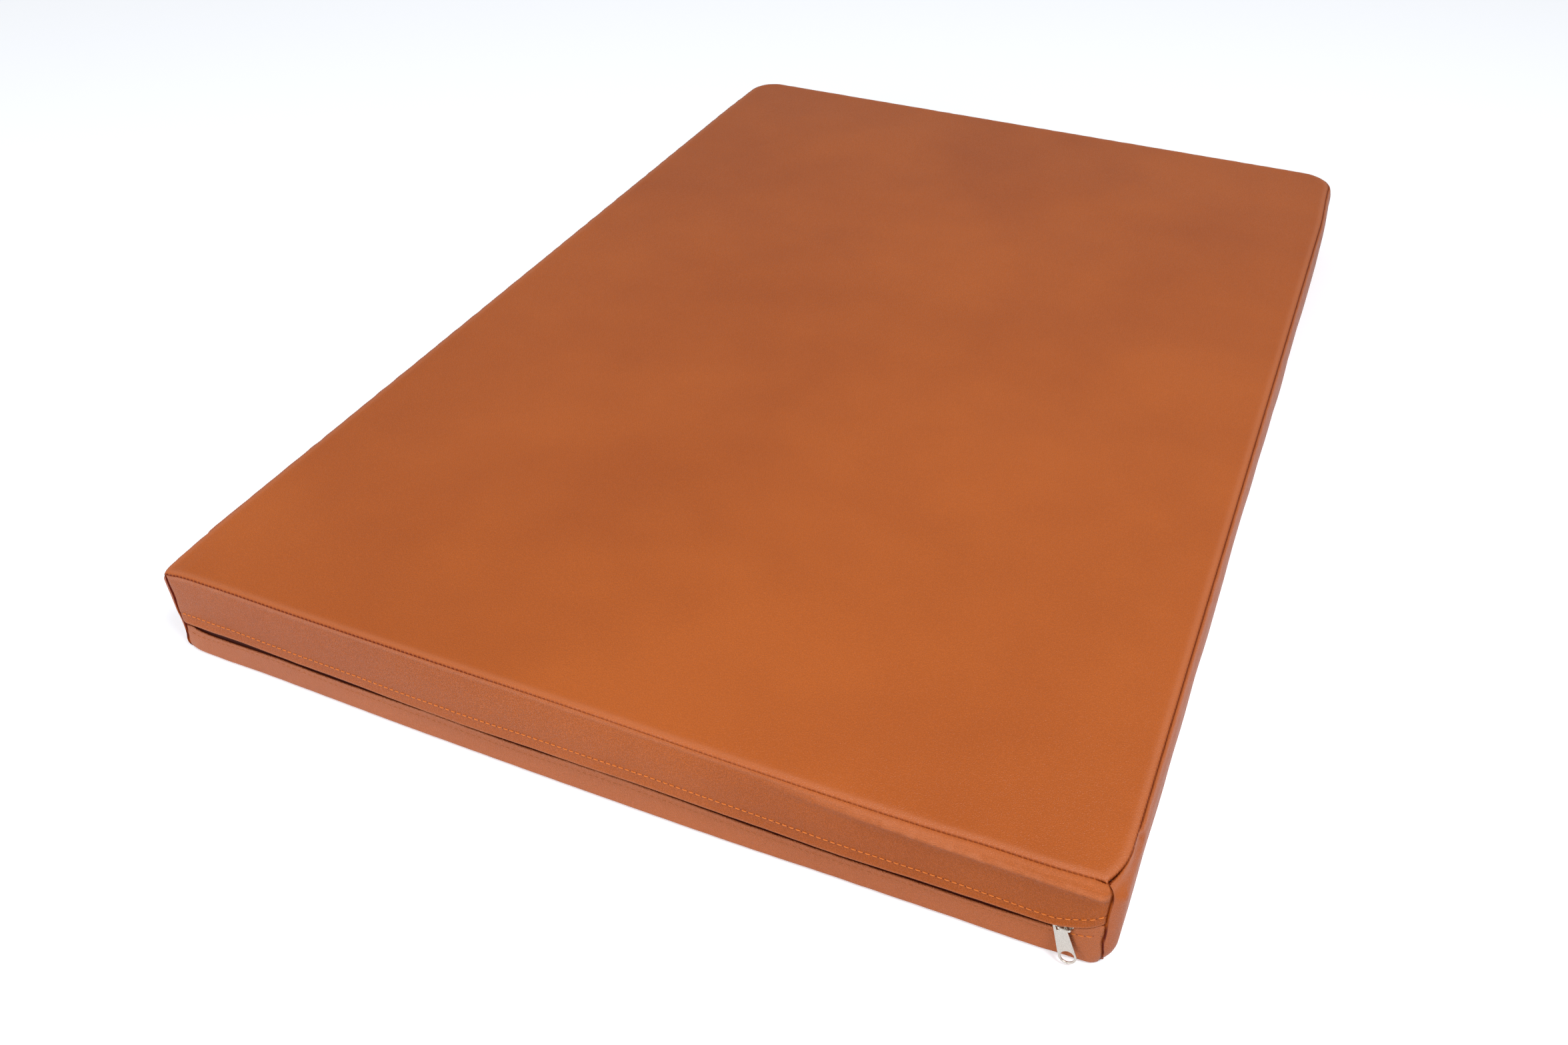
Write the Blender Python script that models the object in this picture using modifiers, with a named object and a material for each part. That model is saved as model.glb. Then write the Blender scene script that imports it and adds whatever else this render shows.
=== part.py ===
# Soft landing mat: a foam block in a sewn leatherette cover that zips shut along one short side.
# Metres, +Z up. The origin is the middle of the footprint, on the floor.
# The zip side faces -Y and the mat is longest along Y.

import math

import bmesh
import bpy

# The mat over all
MAT_WIDTH = 0.700
MAT_LENGTH = 1.000  # to the end of the pull tab
MAT_HEIGHT = 0.080

# The cover's sheets and how they are sewn
SHEET = 0.0009  # leatherette
GAP = 0.0003  # between pieces that touch
SIDE_ROLL = 0.005  # how far the sides swell out past their seams
CORNER_ROLL = 0.2  # share of that swell left at the front corner seams
ROLL_RUN = 0.060  # length over which the swell dies out towards those seams
EDGE_ROUND = 0.0025  # radius of the top sheet's roll towards its seam
SEAM_LIP = 0.0004  # straight bit of the top sheet between that roll and the seam
CROWN = 0.0015  # rise of the top from its edge to its middle
CROWN_RUN = 0.160  # distance over which it rises
BACK_CORNER = 0.035  # radius of the two back corners in plan
ARC_STEPS = 6  # facets in a quarter turn of those corners

# The zip, counted from its centre line
ZIP_HEIGHT = 0.0290  # centre line above the floor
COIL_HALF = 0.00295  # centre line to the outside of a coil
COIL_THICK = 0.0018
TAPE_HALF = 0.0140  # centre line to the edge of a tape
TAPE_THICK = 0.0005
TAPE_RISE = 0.0046  # height over which a tape comes forward to its seam

# The flap over the zip and the folded edge under it
FLAP_PROUD = 0.0020  # the flap's edge stands in front of the rest of the strip
FLAP_CLEAR = 0.0027  # flap edge above the bridge
FLAP_SLOPE = 0.0045  # height over which the flap comes back to the strip
UPPER_FOLD = 0.0035  # folded layer above the tape's edge
LOWER_FOLD = 0.0120  # height of the lower strip's folded layer

# The slider
SLIDER_LENGTH = 0.0110
SLIDER_WIDTH = 0.0092
SLIDER_TAIL = 0.0076  # width where the joined teeth come out
PLATE_THICK = 0.0009
POST_WIDTH = 0.0008  # the wedge that parts the teeth
POST_LENGTH = 0.0040
SLIDER_END = 0.0195  # cover's corner to the slider at either end of its travel

# The bridge over the slider and the pull tab that hangs on it
BRIDGE_SPAN = 0.0088
BRIDGE_WIDTH = 0.0018
BRIDGE_THICK = 0.0009
BRIDGE_ROUND = 0.0009
FOOT_CLEAR = 0.0001  # foot in its socket
TAB_WIDTH = 0.0112  # at the eye
TAB_THICK = 0.0012
TAB_BAR = 0.0016  # the bars of the tab's window
TAB_CORNER = 0.0012
TAB_OFF_FLOOR = 0.0009  # lowest point of the tab as it swings
WINDOW_WIDTH = 0.0054
WINDOW_HEIGHT = 0.0044
EYE_RADIUS = 0.0042
HOOK_CLEAR = 0.0014  # bridge foot's middle to the window's edges
TAB_TILT = math.radians(10.0)  # the flap holds its top in, so its lower end stands out
TAB_LEAN = math.radians(20.0)  # how the tab hangs in the photograph
TAB_LEAN_MOST = math.radians(26.0)  # as far as the bridge lets it lean that way

# Colours, roughness and metallic values
LEATHERETTE = ((0.456, 0.133, 0.041, 1.0), 0.45, 0.0)
UNDERSIDE = ((0.400, 0.115, 0.036, 1.0), 0.55, 0.0)
FOAM = ((0.80, 0.78, 0.70, 1.0), 0.95, 0.0)
TAPE = ((0.060, 0.022, 0.010, 1.0), 0.85, 0.0)
TEETH = ((0.045, 0.015, 0.008, 1.0), 0.40, 0.0)
NICKEL = ((0.78, 0.74, 0.67, 1.0), 0.28, 1.0)

# The tab's window round the bridge's foot, measured across and up the tab
WINDOW_LEFT = -HOOK_CLEAR
WINDOW_RIGHT = WINDOW_LEFT + WINDOW_WIDTH
WINDOW_TOP = HOOK_CLEAR
WINDOW_BOTTOM = WINDOW_TOP - WINDOW_HEIGHT
TAB_TOP = WINDOW_TOP + TAB_BAR
TAB_MIDDLE = (WINDOW_LEFT + WINDOW_RIGHT) / 2
# How far up its own plane the tab's corner comes when it leans the most
TAB_REACH = (WINDOW_RIGHT + TAB_BAR) * math.sin(TAB_LEAN_MOST) + TAB_TOP * math.cos(TAB_LEAN_MOST)
# The tab is as long as the floor allows when it swings through its lowest point
TAB_HANG = (ZIP_HEIGHT - TAB_OFF_FLOOR - TAB_THICK / 2 * math.sin(TAB_TILT)) / math.cos(TAB_TILT)
EYE_HANG = math.sqrt((TAB_HANG - TAB_WIDTH / 2) ** 2 - TAB_MIDDLE ** 2)
# How far down its own plane the tab comes as it hangs in the photograph
TAB_DROP = EYE_HANG * math.cos(TAB_LEAN) - TAB_MIDDLE * math.sin(TAB_LEAN) + TAB_WIDTH / 2

# Heights on the zip side
CHANNEL = SLIDER_WIDTH / 2 + GAP  # half the height that the slider needs
POST_SLOT = POST_WIDTH / 2 + GAP  # half the slit between the two rows of teeth
FLAP_EDGE = ZIP_HEIGHT + BRIDGE_WIDTH / 2 + FLAP_CLEAR
LOWER_EDGE = ZIP_HEIGHT - CHANNEL
TAPE_BEND = CHANNEL + TAPE_RISE
FLAP_BEND = GAP + max(ZIP_HEIGHT + TAB_REACH, FLAP_EDGE + SHEET)  # the flap is upright up to here

# Depths behind the front plane, one layer after the next
FLAP_BACK = 2 * SHEET - FLAP_PROUD
TAB_HALF = TAB_THICK / 2 / math.cos(TAB_TILT)  # half the tab's thickness, measured along Y
TAB_UNDER_FLAP = (FLAP_EDGE + SHEET - ZIP_HEIGHT) * math.tan(TAB_TILT)
TAB_DEPTH = FLAP_BACK + GAP + TAB_HALF - TAB_UNDER_FLAP  # middle of the tab where it hangs
BRIDGE_TOP = TAB_DEPTH - BRIDGE_WIDTH / 2 * math.tan(TAB_TILT) - TAB_HALF - GAP - BRIDGE_THICK
PLATE_FRONT = TAB_DEPTH + TAB_REACH * math.sin(TAB_TILT) + TAB_HALF + GAP
PLATE_BACK = PLATE_FRONT + PLATE_THICK
COIL_FRONT = PLATE_BACK + GAP
COIL_BACK = COIL_FRONT + COIL_THICK
TAPE_FRONT = COIL_BACK + GAP
TAPE_BACK = TAPE_FRONT + TAPE_THICK
REAR_PLATE_FRONT = TAPE_BACK + GAP
REAR_PLATE_BACK = REAR_PLATE_FRONT + PLATE_THICK
GROOVE = REAR_PLATE_BACK + GAP
UPPER_SEAT = 2 * SHEET + GAP  # where the upper tape lies at its seam
LOWER_FACE = PLATE_FRONT  # outer face of the lower strip
LOWER_SEAT = LOWER_FACE + 2 * SHEET + GAP

# Planes of the mat
TAB_OUT = TAB_DROP * math.sin(TAB_TILT) + TAB_THICK / 2 * math.cos(TAB_TILT) - TAB_DEPTH
FRONT = -MAT_LENGTH / 2 + TAB_OUT
BACK_SEAM = MAT_LENGTH / 2 - SIDE_ROLL
SIDE_SEAM = MAT_WIDTH / 2 - SIDE_ROLL
TOP_SEAM = MAT_HEIGHT - CROWN - EDGE_ROUND - SEAM_LIP
SKIN = SHEET + GAP  # cover sheet and the gap behind it
STRIP_END = SIDE_SEAM - SKIN  # half the length of everything on the zip side

# The slider at rest, closed, at the right-hand end
SLIDER_X = STRIP_END - SLIDER_END - SLIDER_LENGTH / 2
FOOT_X = SLIDER_X - BRIDGE_SPAN / 2 + BRIDGE_THICK / 2  # foot that the tab hooks round


# Scene and objects


def clear_scene():
    for item in list(bpy.data.objects):
        bpy.data.objects.remove(item, do_unlink=True)


def new_collection(name):
    group = bpy.data.collections.new(name)
    bpy.context.scene.collection.children.link(group)
    return group


def principled(name, look):
    colour, roughness, metallic = look
    material = bpy.data.materials.new(name)
    material.use_nodes = True
    shader = material.node_tree.nodes["Principled BSDF"]
    shader.inputs["Base Color"].default_value = colour
    shader.inputs["Roughness"].default_value = roughness
    shader.inputs["Metallic"].default_value = metallic
    material.diffuse_color = colour
    return material


def add(name, data, look, group):
    item = bpy.data.objects.new(name, data)
    data.materials.append(principled(name, look))
    group.objects.link(item)
    return item


def as_cutter(item):
    item.hide_render = True
    item.display_type = "WIRE"
    return item


def cutter(name, data, group):
    item = bpy.data.objects.new(name, data)
    group.objects.link(item)
    return as_cutter(item)


def boolean(item, other, operation):
    change = item.modifiers.new(f"{operation.lower()} {other.name}", "BOOLEAN")
    change.operation = operation
    change.solver = "EXACT"
    change.object = other
    return change


def shade_smooth(mesh, angle):
    mesh.shade_smooth()
    mesh.set_sharp_from_angle(angle=angle)


# Outlines


def arc(centre_x, centre_y, radius, start, end, steps):
    """Points on an arc, from start to end in degrees."""
    turns = [math.radians(start + (end - start) * i / steps) for i in range(steps + 1)]
    return [(centre_x + radius * math.cos(t), centre_y + radius * math.sin(t)) for t in turns]


def flat_curve(name, outlines, thickness):
    """A filled flat outline, with any holes in it, given a thickness."""
    curve = bpy.data.curves.new(name, "CURVE")
    curve.dimensions = "2D"
    curve.fill_mode = "BOTH"
    curve.extrude = thickness / 2
    for outline in outlines:
        line = curve.splines.new("POLY")
        line.points.add(len(outline) - 1)
        for point, (u, v) in zip(line.points, outline):
            point.co = (u, v, 0.0, 1.0)
        line.use_cyclic_u = True
    return curve


def box_mesh(name, low, high):
    shape = bmesh.new()
    bmesh.ops.create_cube(shape, size=1.0)
    for corner in shape.verts:
        corner.co = [a + (c + 0.5) * (b - a) for a, b, c in zip(low, high, corner.co)]
    mesh = bpy.data.meshes.new(name)
    shape.to_mesh(mesh)
    shape.free()
    return mesh


def solid_from(curve_object, group):
    """The curve's own solid as a mesh object, ready to be cut."""
    bpy.context.view_layer.update()
    graph = bpy.context.evaluated_depsgraph_get()
    mesh = bpy.data.meshes.new_from_object(curve_object.evaluated_get(graph))
    shape = bmesh.new()
    shape.from_mesh(mesh)
    bmesh.ops.remove_doubles(shape, verts=shape.verts, dist=1e-6)
    shape.to_mesh(mesh)
    shape.free()
    item = bpy.data.objects.new(curve_object.name, mesh)
    item.matrix_world = curve_object.matrix_world
    group.objects.link(item)
    name, old = curve_object.name, curve_object.data
    bpy.data.objects.remove(curve_object, do_unlink=True)
    bpy.data.curves.remove(old)
    item.name = name
    return item


def lies_along_x(item):
    """Turn an outline drawn as (y, z) so that its thickness runs along X."""
    item.rotation_euler = (math.pi / 2, 0.0, math.pi / 2)


def strip(name, section, look, group):
    """A section given as (depth, height) run from one corner seam to the other."""
    outline = [(FRONT + depth, height) for depth, height in section]
    item = add(name, flat_curve(name, [outline], 2 * STRIP_END), look, group)
    lies_along_x(item)
    return item


# The cover's sheets


def swell(share_of_height):
    """Swell of a side between its two seams, from 0 at either seam to 1 between them."""
    return 1.0 - (2.0 * share_of_height - 1.0) ** 4


def swell_at(distance):
    """Share of the swell at this distance from a front corner seam."""
    run = min(distance / ROLL_RUN, 1.0)
    return CORNER_ROLL + (1.0 - CORNER_ROLL) * (1.0 - (1.0 - run) ** 2)


def side_path(inset, front):
    """Plan points from the front right corner round the back to the front left one.

    Each is x, y, the outward direction and the share of the swell there.
    """
    x = SIDE_SEAM - inset
    y = BACK_SEAM - inset
    radius = max(BACK_CORNER - inset, BACK_CORNER / ARC_STEPS)
    steps = [ROLL_RUN * share for share in (0.25, 0.5, 0.75, 1.0)]
    right = [(x, front, 1.0, 0.0, CORNER_ROLL)]
    right += [(x, FRONT + inset + s, 1.0, 0.0, swell_at(s)) for s in steps]
    for i in range(ARC_STEPS + 1):
        turn = math.pi / 2 * i / ARC_STEPS
        along_x, along_y = math.cos(turn), math.sin(turn)
        right.append((x - radius + radius * along_x, y - radius + radius * along_y, along_x, along_y, 1.0))
    left = [(-px, py, -dx, dy, share) for px, py, dx, dy, share in reversed(right)]
    return right + left


def loft(name, rows, closed, caps):
    """A sheet through rows of points; faces look to the right of the rows' direction."""
    mesh = bpy.data.meshes.new(name)
    count = len(rows[0])
    points = [point for row in rows for point in row]
    faces = []
    for i in range(len(rows) - 1):
        for j in range(count if closed else count - 1):
            a, b = i * count + j, i * count + (j + 1) % count
            faces.append((a, b, b + count, a + count))
    if "first" in caps:
        faces.append(tuple(reversed(range(count))))
    if "last" in caps:
        faces.append(tuple(range((len(rows) - 1) * count, len(rows) * count)))
    mesh.from_pydata(points, [], faces)
    mesh.update()
    return mesh


def top_rows(depth):
    """Insets and heights of the top sheet, this far under its outer face."""
    radius = EDGE_ROUND - depth
    roll_start = TOP_SEAM + SEAM_LIP
    rows = [(depth, TOP_SEAM)]
    for inset, z in arc(EDGE_ROUND, roll_start, radius, 180, 90, 4):
        rows.append((inset, z))
    edge = roll_start + radius
    for share in (0.1, 0.25, 0.45, 0.7, 1.0):
        rows.append((EDGE_ROUND + CROWN_RUN * share, edge + CROWN * (1.0 - (1.0 - share) ** 2)))
    return rows


def band_heights():
    low, high = SKIN, TOP_SEAM - GAP
    shares = (0.0, 0.05, 0.12, 0.22, 0.36, 0.5, 0.64, 0.78, 0.88, 0.95, 1.0)
    return [(share, low + (high - low) * share) for share in shares]


def band_rows(inset, front):
    path = side_path(inset, front)
    rows = []
    for share, z in band_heights():
        out = SIDE_ROLL * swell(share)
        rows.append([(x + dx * out * part, y + dy * out * part, z) for x, y, dx, dy, part in path])
    return rows


def thicken(item):
    wall = item.modifiers.new("sheet", "SOLIDIFY")
    wall.thickness = SHEET
    wall.offset = -1.0
    wall.use_even_offset = True


def make_top_panel(group):
    rows = []
    for inset, z in top_rows(0.0):
        rows.append([(x, y, z) for x, y, *_ in side_path(inset, FRONT + inset)])
    mesh = loft("top_panel", rows, True, ("last",))
    shade_smooth(mesh, math.radians(40))
    thicken(add("top_panel", mesh, LEATHERETTE, group))


def make_side_band(group):
    mesh = loft("side_band", band_rows(0.0, FRONT + LOWER_FACE), False, ())
    shade_smooth(mesh, math.radians(40))
    thicken(add("side_band", mesh, LEATHERETTE, group))


def make_bottom_panel(group):
    outline = [(x, y) for x, y, *_ in side_path(0.0, FRONT + LOWER_FACE)]
    item = add("bottom_panel", flat_curve("bottom_panel", [outline], SHEET), UNDERSIDE, group)
    item.location = (0.0, 0.0, SHEET / 2)


# The foam block


def foam_front():
    """Depth and height of the foam's front, pressed in behind the zip."""
    zip_line, tape_end = ZIP_HEIGHT, TAPE_HALF + GAP
    return [
        (LOWER_FACE + SKIN, -MAT_HEIGHT),
        (LOWER_FACE + SKIN, LOWER_EDGE - LOWER_FOLD - GAP),
        (LOWER_SEAT, LOWER_EDGE - LOWER_FOLD - GAP),
        (LOWER_SEAT, zip_line - tape_end),
        (LOWER_SEAT + TAPE_THICK + GAP, zip_line - tape_end),
        (LOWER_SEAT + TAPE_THICK + GAP, zip_line - TAPE_BEND),
        (REAR_PLATE_FRONT, zip_line - CHANNEL),
        (GROOVE, zip_line - CHANNEL),
        (GROOVE, zip_line + CHANNEL),
        (REAR_PLATE_FRONT, zip_line + CHANNEL),
        (UPPER_SEAT + TAPE_THICK + GAP, zip_line + TAPE_BEND),
        (UPPER_SEAT + TAPE_THICK + GAP, zip_line + tape_end),
        (UPPER_SEAT, zip_line + tape_end),
        (UPPER_SEAT, zip_line + TAPE_HALF + UPPER_FOLD + GAP),
        (-MAT_HEIGHT, zip_line + TAPE_HALF + UPPER_FOLD + GAP),
        (-MAT_HEIGHT, -MAT_HEIGHT),
    ]


def make_foam_core(group, cutters):
    rows = band_rows(SKIN, FRONT + SKIN)
    for inset, z in top_rows(SKIN):
        rows.append([(x, y, z) for x, y, *_ in side_path(inset, FRONT + inset)])
    item = add("foam_core", loft("foam_core", rows, True, ("first", "last")), FOAM, group)
    outline = [(FRONT + depth, height) for depth, height in foam_front()]
    face = cutter("foam front", flat_curve("foam front", [outline], 2 * MAT_WIDTH), cutters)
    lies_along_x(face)
    boolean(item, as_cutter(solid_from(face, cutters)), "DIFFERENCE")


# The strips on the zip side


def make_front_band_upper(group):
    fold_top = ZIP_HEIGHT + TAPE_HALF + UPPER_FOLD
    slope_top = FLAP_BEND + FLAP_SLOPE
    edge = arc(-FLAP_PROUD + SHEET, FLAP_EDGE + SHEET, SHEET, 180, 360, 4)
    section = [(0.0, TOP_SEAM - GAP), (0.0, slope_top), (-FLAP_PROUD, FLAP_BEND)]
    section += edge
    section += [(FLAP_BACK, FLAP_BEND), (2 * SHEET, slope_top)]
    section += [(2 * SHEET, fold_top), (SHEET, fold_top), (SHEET, TOP_SEAM - GAP)]
    strip("front_band_upper", section, LEATHERETTE, group)


def make_front_band_lower(group):
    fold_low = LOWER_EDGE - LOWER_FOLD
    inner = LOWER_FACE + SHEET
    edge = arc(inner, LOWER_EDGE - SHEET, SHEET, 0, 180, 4)
    section = [(LOWER_FACE, SKIN), (inner, SKIN), (inner, fold_low), (inner + SHEET, fold_low)]
    section += edge
    strip("front_band_lower", section, LEATHERETTE, group)


def make_zip_tape(name, side, seat, group):
    """One tape: flat behind the teeth, then forward to lie behind its strip's folded layer."""
    path = [(TAPE_FRONT, POST_SLOT), (TAPE_FRONT, CHANNEL), (seat, TAPE_BEND), (seat, TAPE_HALF)]
    front = [(depth, ZIP_HEIGHT + side * off) for depth, off in path]
    back = [(depth + TAPE_THICK, height) for depth, height in reversed(front)]
    strip(name, front + back, TAPE, group)


def make_zip_coil(name, side, group):
    """One row of teeth, as an oval bead."""
    middle = (POST_SLOT + COIL_HALF) / 2
    half = (COIL_HALF - POST_SLOT) / 2
    section = []
    for i in range(12):
        turn = 2 * math.pi * (i + 0.5) / 12
        stretch = 1.0 / math.cos(math.pi / 12)
        depth = (COIL_FRONT + COIL_BACK) / 2 + COIL_THICK / 2 * stretch * math.cos(turn)
        section.append((depth, ZIP_HEIGHT + side * (middle + half * stretch * math.sin(turn))))
    strip(name, section, TEETH, group)


# The slider, its bridge and the pull tab


def slider_outline():
    """The slider seen from the front: wide shoulders where the teeth part, a narrower tail."""
    nose, tail, half = SLIDER_WIDTH / 2, SLIDER_TAIL / 2, SLIDER_LENGTH / 2
    rounding = SLIDER_WIDTH / 5
    right_side = arc(half - rounding, nose - rounding, rounding, 0, 90, 4)
    upper = right_side + [(-half * 0.1, nose), (-half * 0.5, tail), (-half, tail)]
    return upper + [(u, -v) for u, v in reversed(upper)]


def slider_slab(name, near, far, group):
    """The slider's outline from one depth to another, as a mesh."""
    curve = bpy.data.objects.new(name, flat_curve(name, [slider_outline()], far - near))
    group.objects.link(curve)
    curve.rotation_euler = (math.pi / 2, 0.0, 0.0)
    curve.location = (SLIDER_X, FRONT + (near + far) / 2, ZIP_HEIGHT)
    return solid_from(curve, group)


def slider_box(name, x_low, x_high, near, far, half_height, cutters):
    low = (SLIDER_X + x_low, FRONT + near, ZIP_HEIGHT - half_height)
    high = (SLIDER_X + x_high, FRONT + far, ZIP_HEIGHT + half_height)
    return cutter(name, box_mesh(name, low, high), cutters)


def make_slider_body(parent, group, cutters):
    half = SLIDER_LENGTH / 2
    item = slider_slab("slider_body", PLATE_FRONT, TAPE_FRONT - GAP, group)
    item.data.materials.append(principled("slider_body", NICKEL))
    room = COIL_HALF + GAP
    channel = slider_box("teeth channel", -SLIDER_LENGTH, SLIDER_LENGTH, PLATE_BACK, TAPE_BACK, room, cutters)
    boolean(item, channel, "DIFFERENCE")
    rear = as_cutter(slider_slab("rear plate", REAR_PLATE_FRONT, REAR_PLATE_BACK, cutters))
    boolean(item, rear, "UNION")
    inside = PLATE_THICK / 2
    post_end = half - SLIDER_WIDTH / 10
    post = slider_box(
        "wedge", post_end - POST_LENGTH, post_end, PLATE_BACK - inside, REAR_PLATE_FRONT + inside,
        POST_WIDTH / 2, cutters,
    )
    boolean(item, post, "UNION")
    foot = BRIDGE_THICK / 2 + FOOT_CLEAR
    for side in (-1, 1):
        middle = side * (BRIDGE_SPAN - BRIDGE_THICK) / 2
        socket = slider_box(
            f"bridge socket {side:+d}", middle - foot, middle + foot, PLATE_FRONT - GAP, PLATE_BACK + GAP,
            BRIDGE_WIDTH / 2 + FOOT_CLEAR, cutters,
        )
        boolean(item, socket, "DIFFERENCE")
    keep_place(item, parent)


def make_slider_bridge(parent, group):
    """A bent strip, drawn from above as (x, depth) and given its width along Z."""
    outer, inner = BRIDGE_SPAN / 2, BRIDGE_SPAN / 2 - BRIDGE_THICK
    bend = BRIDGE_ROUND + BRIDGE_THICK
    outside = [(outer, PLATE_BACK)] + arc(outer - bend, BRIDGE_TOP + bend, bend, 0, -90, 4)
    inside = arc(outer - bend, BRIDGE_TOP + bend, BRIDGE_ROUND, -90, 0, 4) + [(inner, PLATE_BACK)]
    outline = [(-u, v) for u, v in reversed(inside)] + inside
    outline += outside + [(-u, v) for u, v in reversed(outside)]
    item = add("slider_bridge", flat_curve("slider_bridge", [outline], BRIDGE_WIDTH), NICKEL, group)
    item.location = (SLIDER_X, FRONT, ZIP_HEIGHT)
    keep_place(item, parent)


def make_pull_tab(parent, group):
    """The tab in its own plane: across, and up from the middle of the bridge's foot."""
    top_half = WINDOW_WIDTH / 2 + TAB_BAR
    low_half = TAB_WIDTH / 2
    outer = arc(TAB_MIDDLE + top_half - TAB_CORNER, TAB_TOP - TAB_CORNER, TAB_CORNER, 0, 90, 4)
    outer += arc(TAB_MIDDLE - top_half + TAB_CORNER, TAB_TOP - TAB_CORNER, TAB_CORNER, 90, 180, 4)
    outer += arc(TAB_MIDDLE, -EYE_HANG, low_half, 180, 360, 16)
    window = [
        (WINDOW_LEFT, WINDOW_BOTTOM), (WINDOW_RIGHT, WINDOW_BOTTOM),
        (WINDOW_RIGHT, WINDOW_TOP), (WINDOW_LEFT, WINDOW_TOP),
    ]
    hole = arc(TAB_MIDDLE, -EYE_HANG, EYE_RADIUS, 0, 345, 23)
    item = add("pull_tab", flat_curve("pull_tab", [outer, window, hole], TAB_THICK), NICKEL, group)
    item.rotation_euler = (math.pi / 2, -TAB_LEAN, 0.0)
    item.parent = parent


def keep_place(item, parent):
    """Parent an item that is already in place."""
    item.parent = parent
    item.matrix_parent_inverse = parent.matrix_world.inverted()


def joint_empty(name, place, group):
    empty = bpy.data.objects.new(name, None)
    empty.location = place
    empty.empty_display_size = SLIDER_LENGTH
    group.objects.link(empty)
    bpy.context.view_layer.update()
    return empty


def main():
    clear_scene()
    group = new_collection("soft_landing_mat")
    cutters = new_collection("cutters")
    make_foam_core(group, cutters)
    make_bottom_panel(group)
    make_top_panel(group)
    make_side_band(group)
    make_front_band_upper(group)
    make_front_band_lower(group)
    make_zip_tape("zip_tape_upper", 1, UPPER_SEAT, group)
    make_zip_tape("zip_tape_lower", -1, LOWER_SEAT, group)
    make_zip_coil("zip_coil_upper", 1, group)
    make_zip_coil("zip_coil_lower", -1, group)
    slide = joint_empty("slider_slide", (SLIDER_X, FRONT + PLATE_FRONT, ZIP_HEIGHT), group)
    make_slider_body(slide, group, cutters)
    make_slider_bridge(slide, group)
    swing = joint_empty("tab_swing", (FOOT_X, FRONT + TAB_DEPTH, ZIP_HEIGHT), group)
    swing.rotation_euler = (-TAB_TILT, 0.0, 0.0)
    make_pull_tab(swing, group)


main()
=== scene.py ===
from functools import partial

import bmesh
import bpy
import numpy as np
from mathutils import Matrix


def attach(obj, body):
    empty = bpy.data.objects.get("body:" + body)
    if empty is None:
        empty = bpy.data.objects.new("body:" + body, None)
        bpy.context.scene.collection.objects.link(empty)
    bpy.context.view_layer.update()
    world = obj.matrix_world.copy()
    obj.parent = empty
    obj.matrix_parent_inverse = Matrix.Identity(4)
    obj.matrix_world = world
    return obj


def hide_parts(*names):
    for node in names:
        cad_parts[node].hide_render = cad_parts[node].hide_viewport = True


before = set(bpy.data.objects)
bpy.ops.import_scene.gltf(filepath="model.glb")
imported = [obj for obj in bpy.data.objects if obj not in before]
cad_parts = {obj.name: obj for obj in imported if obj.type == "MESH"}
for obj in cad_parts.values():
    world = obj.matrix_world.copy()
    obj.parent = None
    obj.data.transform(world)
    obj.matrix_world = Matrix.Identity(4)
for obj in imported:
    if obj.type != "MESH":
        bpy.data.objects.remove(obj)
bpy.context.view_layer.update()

# Shapes are worked out in millimetres: x to the right, d = depth behind the zip side's plane, z up.
zipSide = -494.7108  # y of that plane
depthBack = 495.0 - zipSide  # d of the seam along the back
stitchPitch = 4.6  # from one needle hole to the next along the folded edges
print("frame loaded:", len(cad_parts), "nodes")


# ---- small tools

def colourOf(hexText):
    # sRGB hex turned linear: c/12.92 below 0.04045, else ((c + 0.055)/1.055)^2.4
    values = [int(hexText[i:i + 2], 16) / 255 for i in (0, 2, 4)]
    return [v / 12.92 if v <= 0.04045 else ((v + 0.055) / 1.055) ** 2.4 for v in values] + [1.0]


def through(x, table):
    # smooth line through the table's points: cubic pieces whose slopes are the mean of the two neighbours
    xs, ys = np.array(table, float).T
    step = np.diff(ys) / np.diff(xs)
    slope = np.concatenate([step[:1], (step[1:] + step[:-1]) / 2, step[-1:]])
    x = np.clip(x, xs[0], xs[-1])
    i = np.clip(np.searchsorted(xs, x) - 1, 0, len(xs) - 2)
    w = xs[i + 1] - xs[i]
    t = (x - xs[i]) / w
    return ((2 * t ** 3 - 3 * t ** 2 + 1) * ys[i] + (t ** 3 - 2 * t ** 2 + t) * w * slope[i]
            + (3 * t ** 2 - 2 * t ** 3) * ys[i + 1] + (t ** 3 - t ** 2) * w * slope[i + 1])


def ease(t):
    # 0 to 1 with flat ends: 3t^2 - 2t^3
    t = np.clip(t, 0, 1)
    return t * t * (3 - 2 * t)


def ripple(a, b, shortest, longest, seed, count=14):
    # seeded unevenness: sum of count sine waves of random direction, length and phase, about -1 to 1
    rng = np.random.default_rng(seed)
    total = 0.0
    for turn, phase, share in rng.random((count, 3)):
        length = shortest * (longest / shortest) ** share
        total = total + np.sin(2 * np.pi * (a * np.cos(np.pi * turn) + b * np.sin(np.pi * turn)) / length
                               + 2 * np.pi * phase)
    return total / np.sqrt(count)


def spaced(total, first, growth, most):
    # places from 0 to total: steps start at first, grow by growth up to most, and mirror at the middle
    steps = [first]
    while sum(steps) + min(steps[-1] * growth, most) < total / 2:
        steps.append(min(steps[-1] * growth, most))
    half = np.concatenate([[0], np.cumsum(steps)])
    half = half * (total / 2 / half[-1])
    return np.concatenate([half, total - half[-2::-1]])


def rounded(v, power):
    # turns a circle's sine or cosine into a superellipse's: sign(v) * |v|^(2 / power)
    return np.sign(v) * np.abs(v) ** (2 / power)


def addObject(name, data):
    # a new object that holds the data, linked into the scene
    made = bpy.data.objects.new(name, data)
    bpy.context.scene.collection.objects.link(made)
    return made


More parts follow.
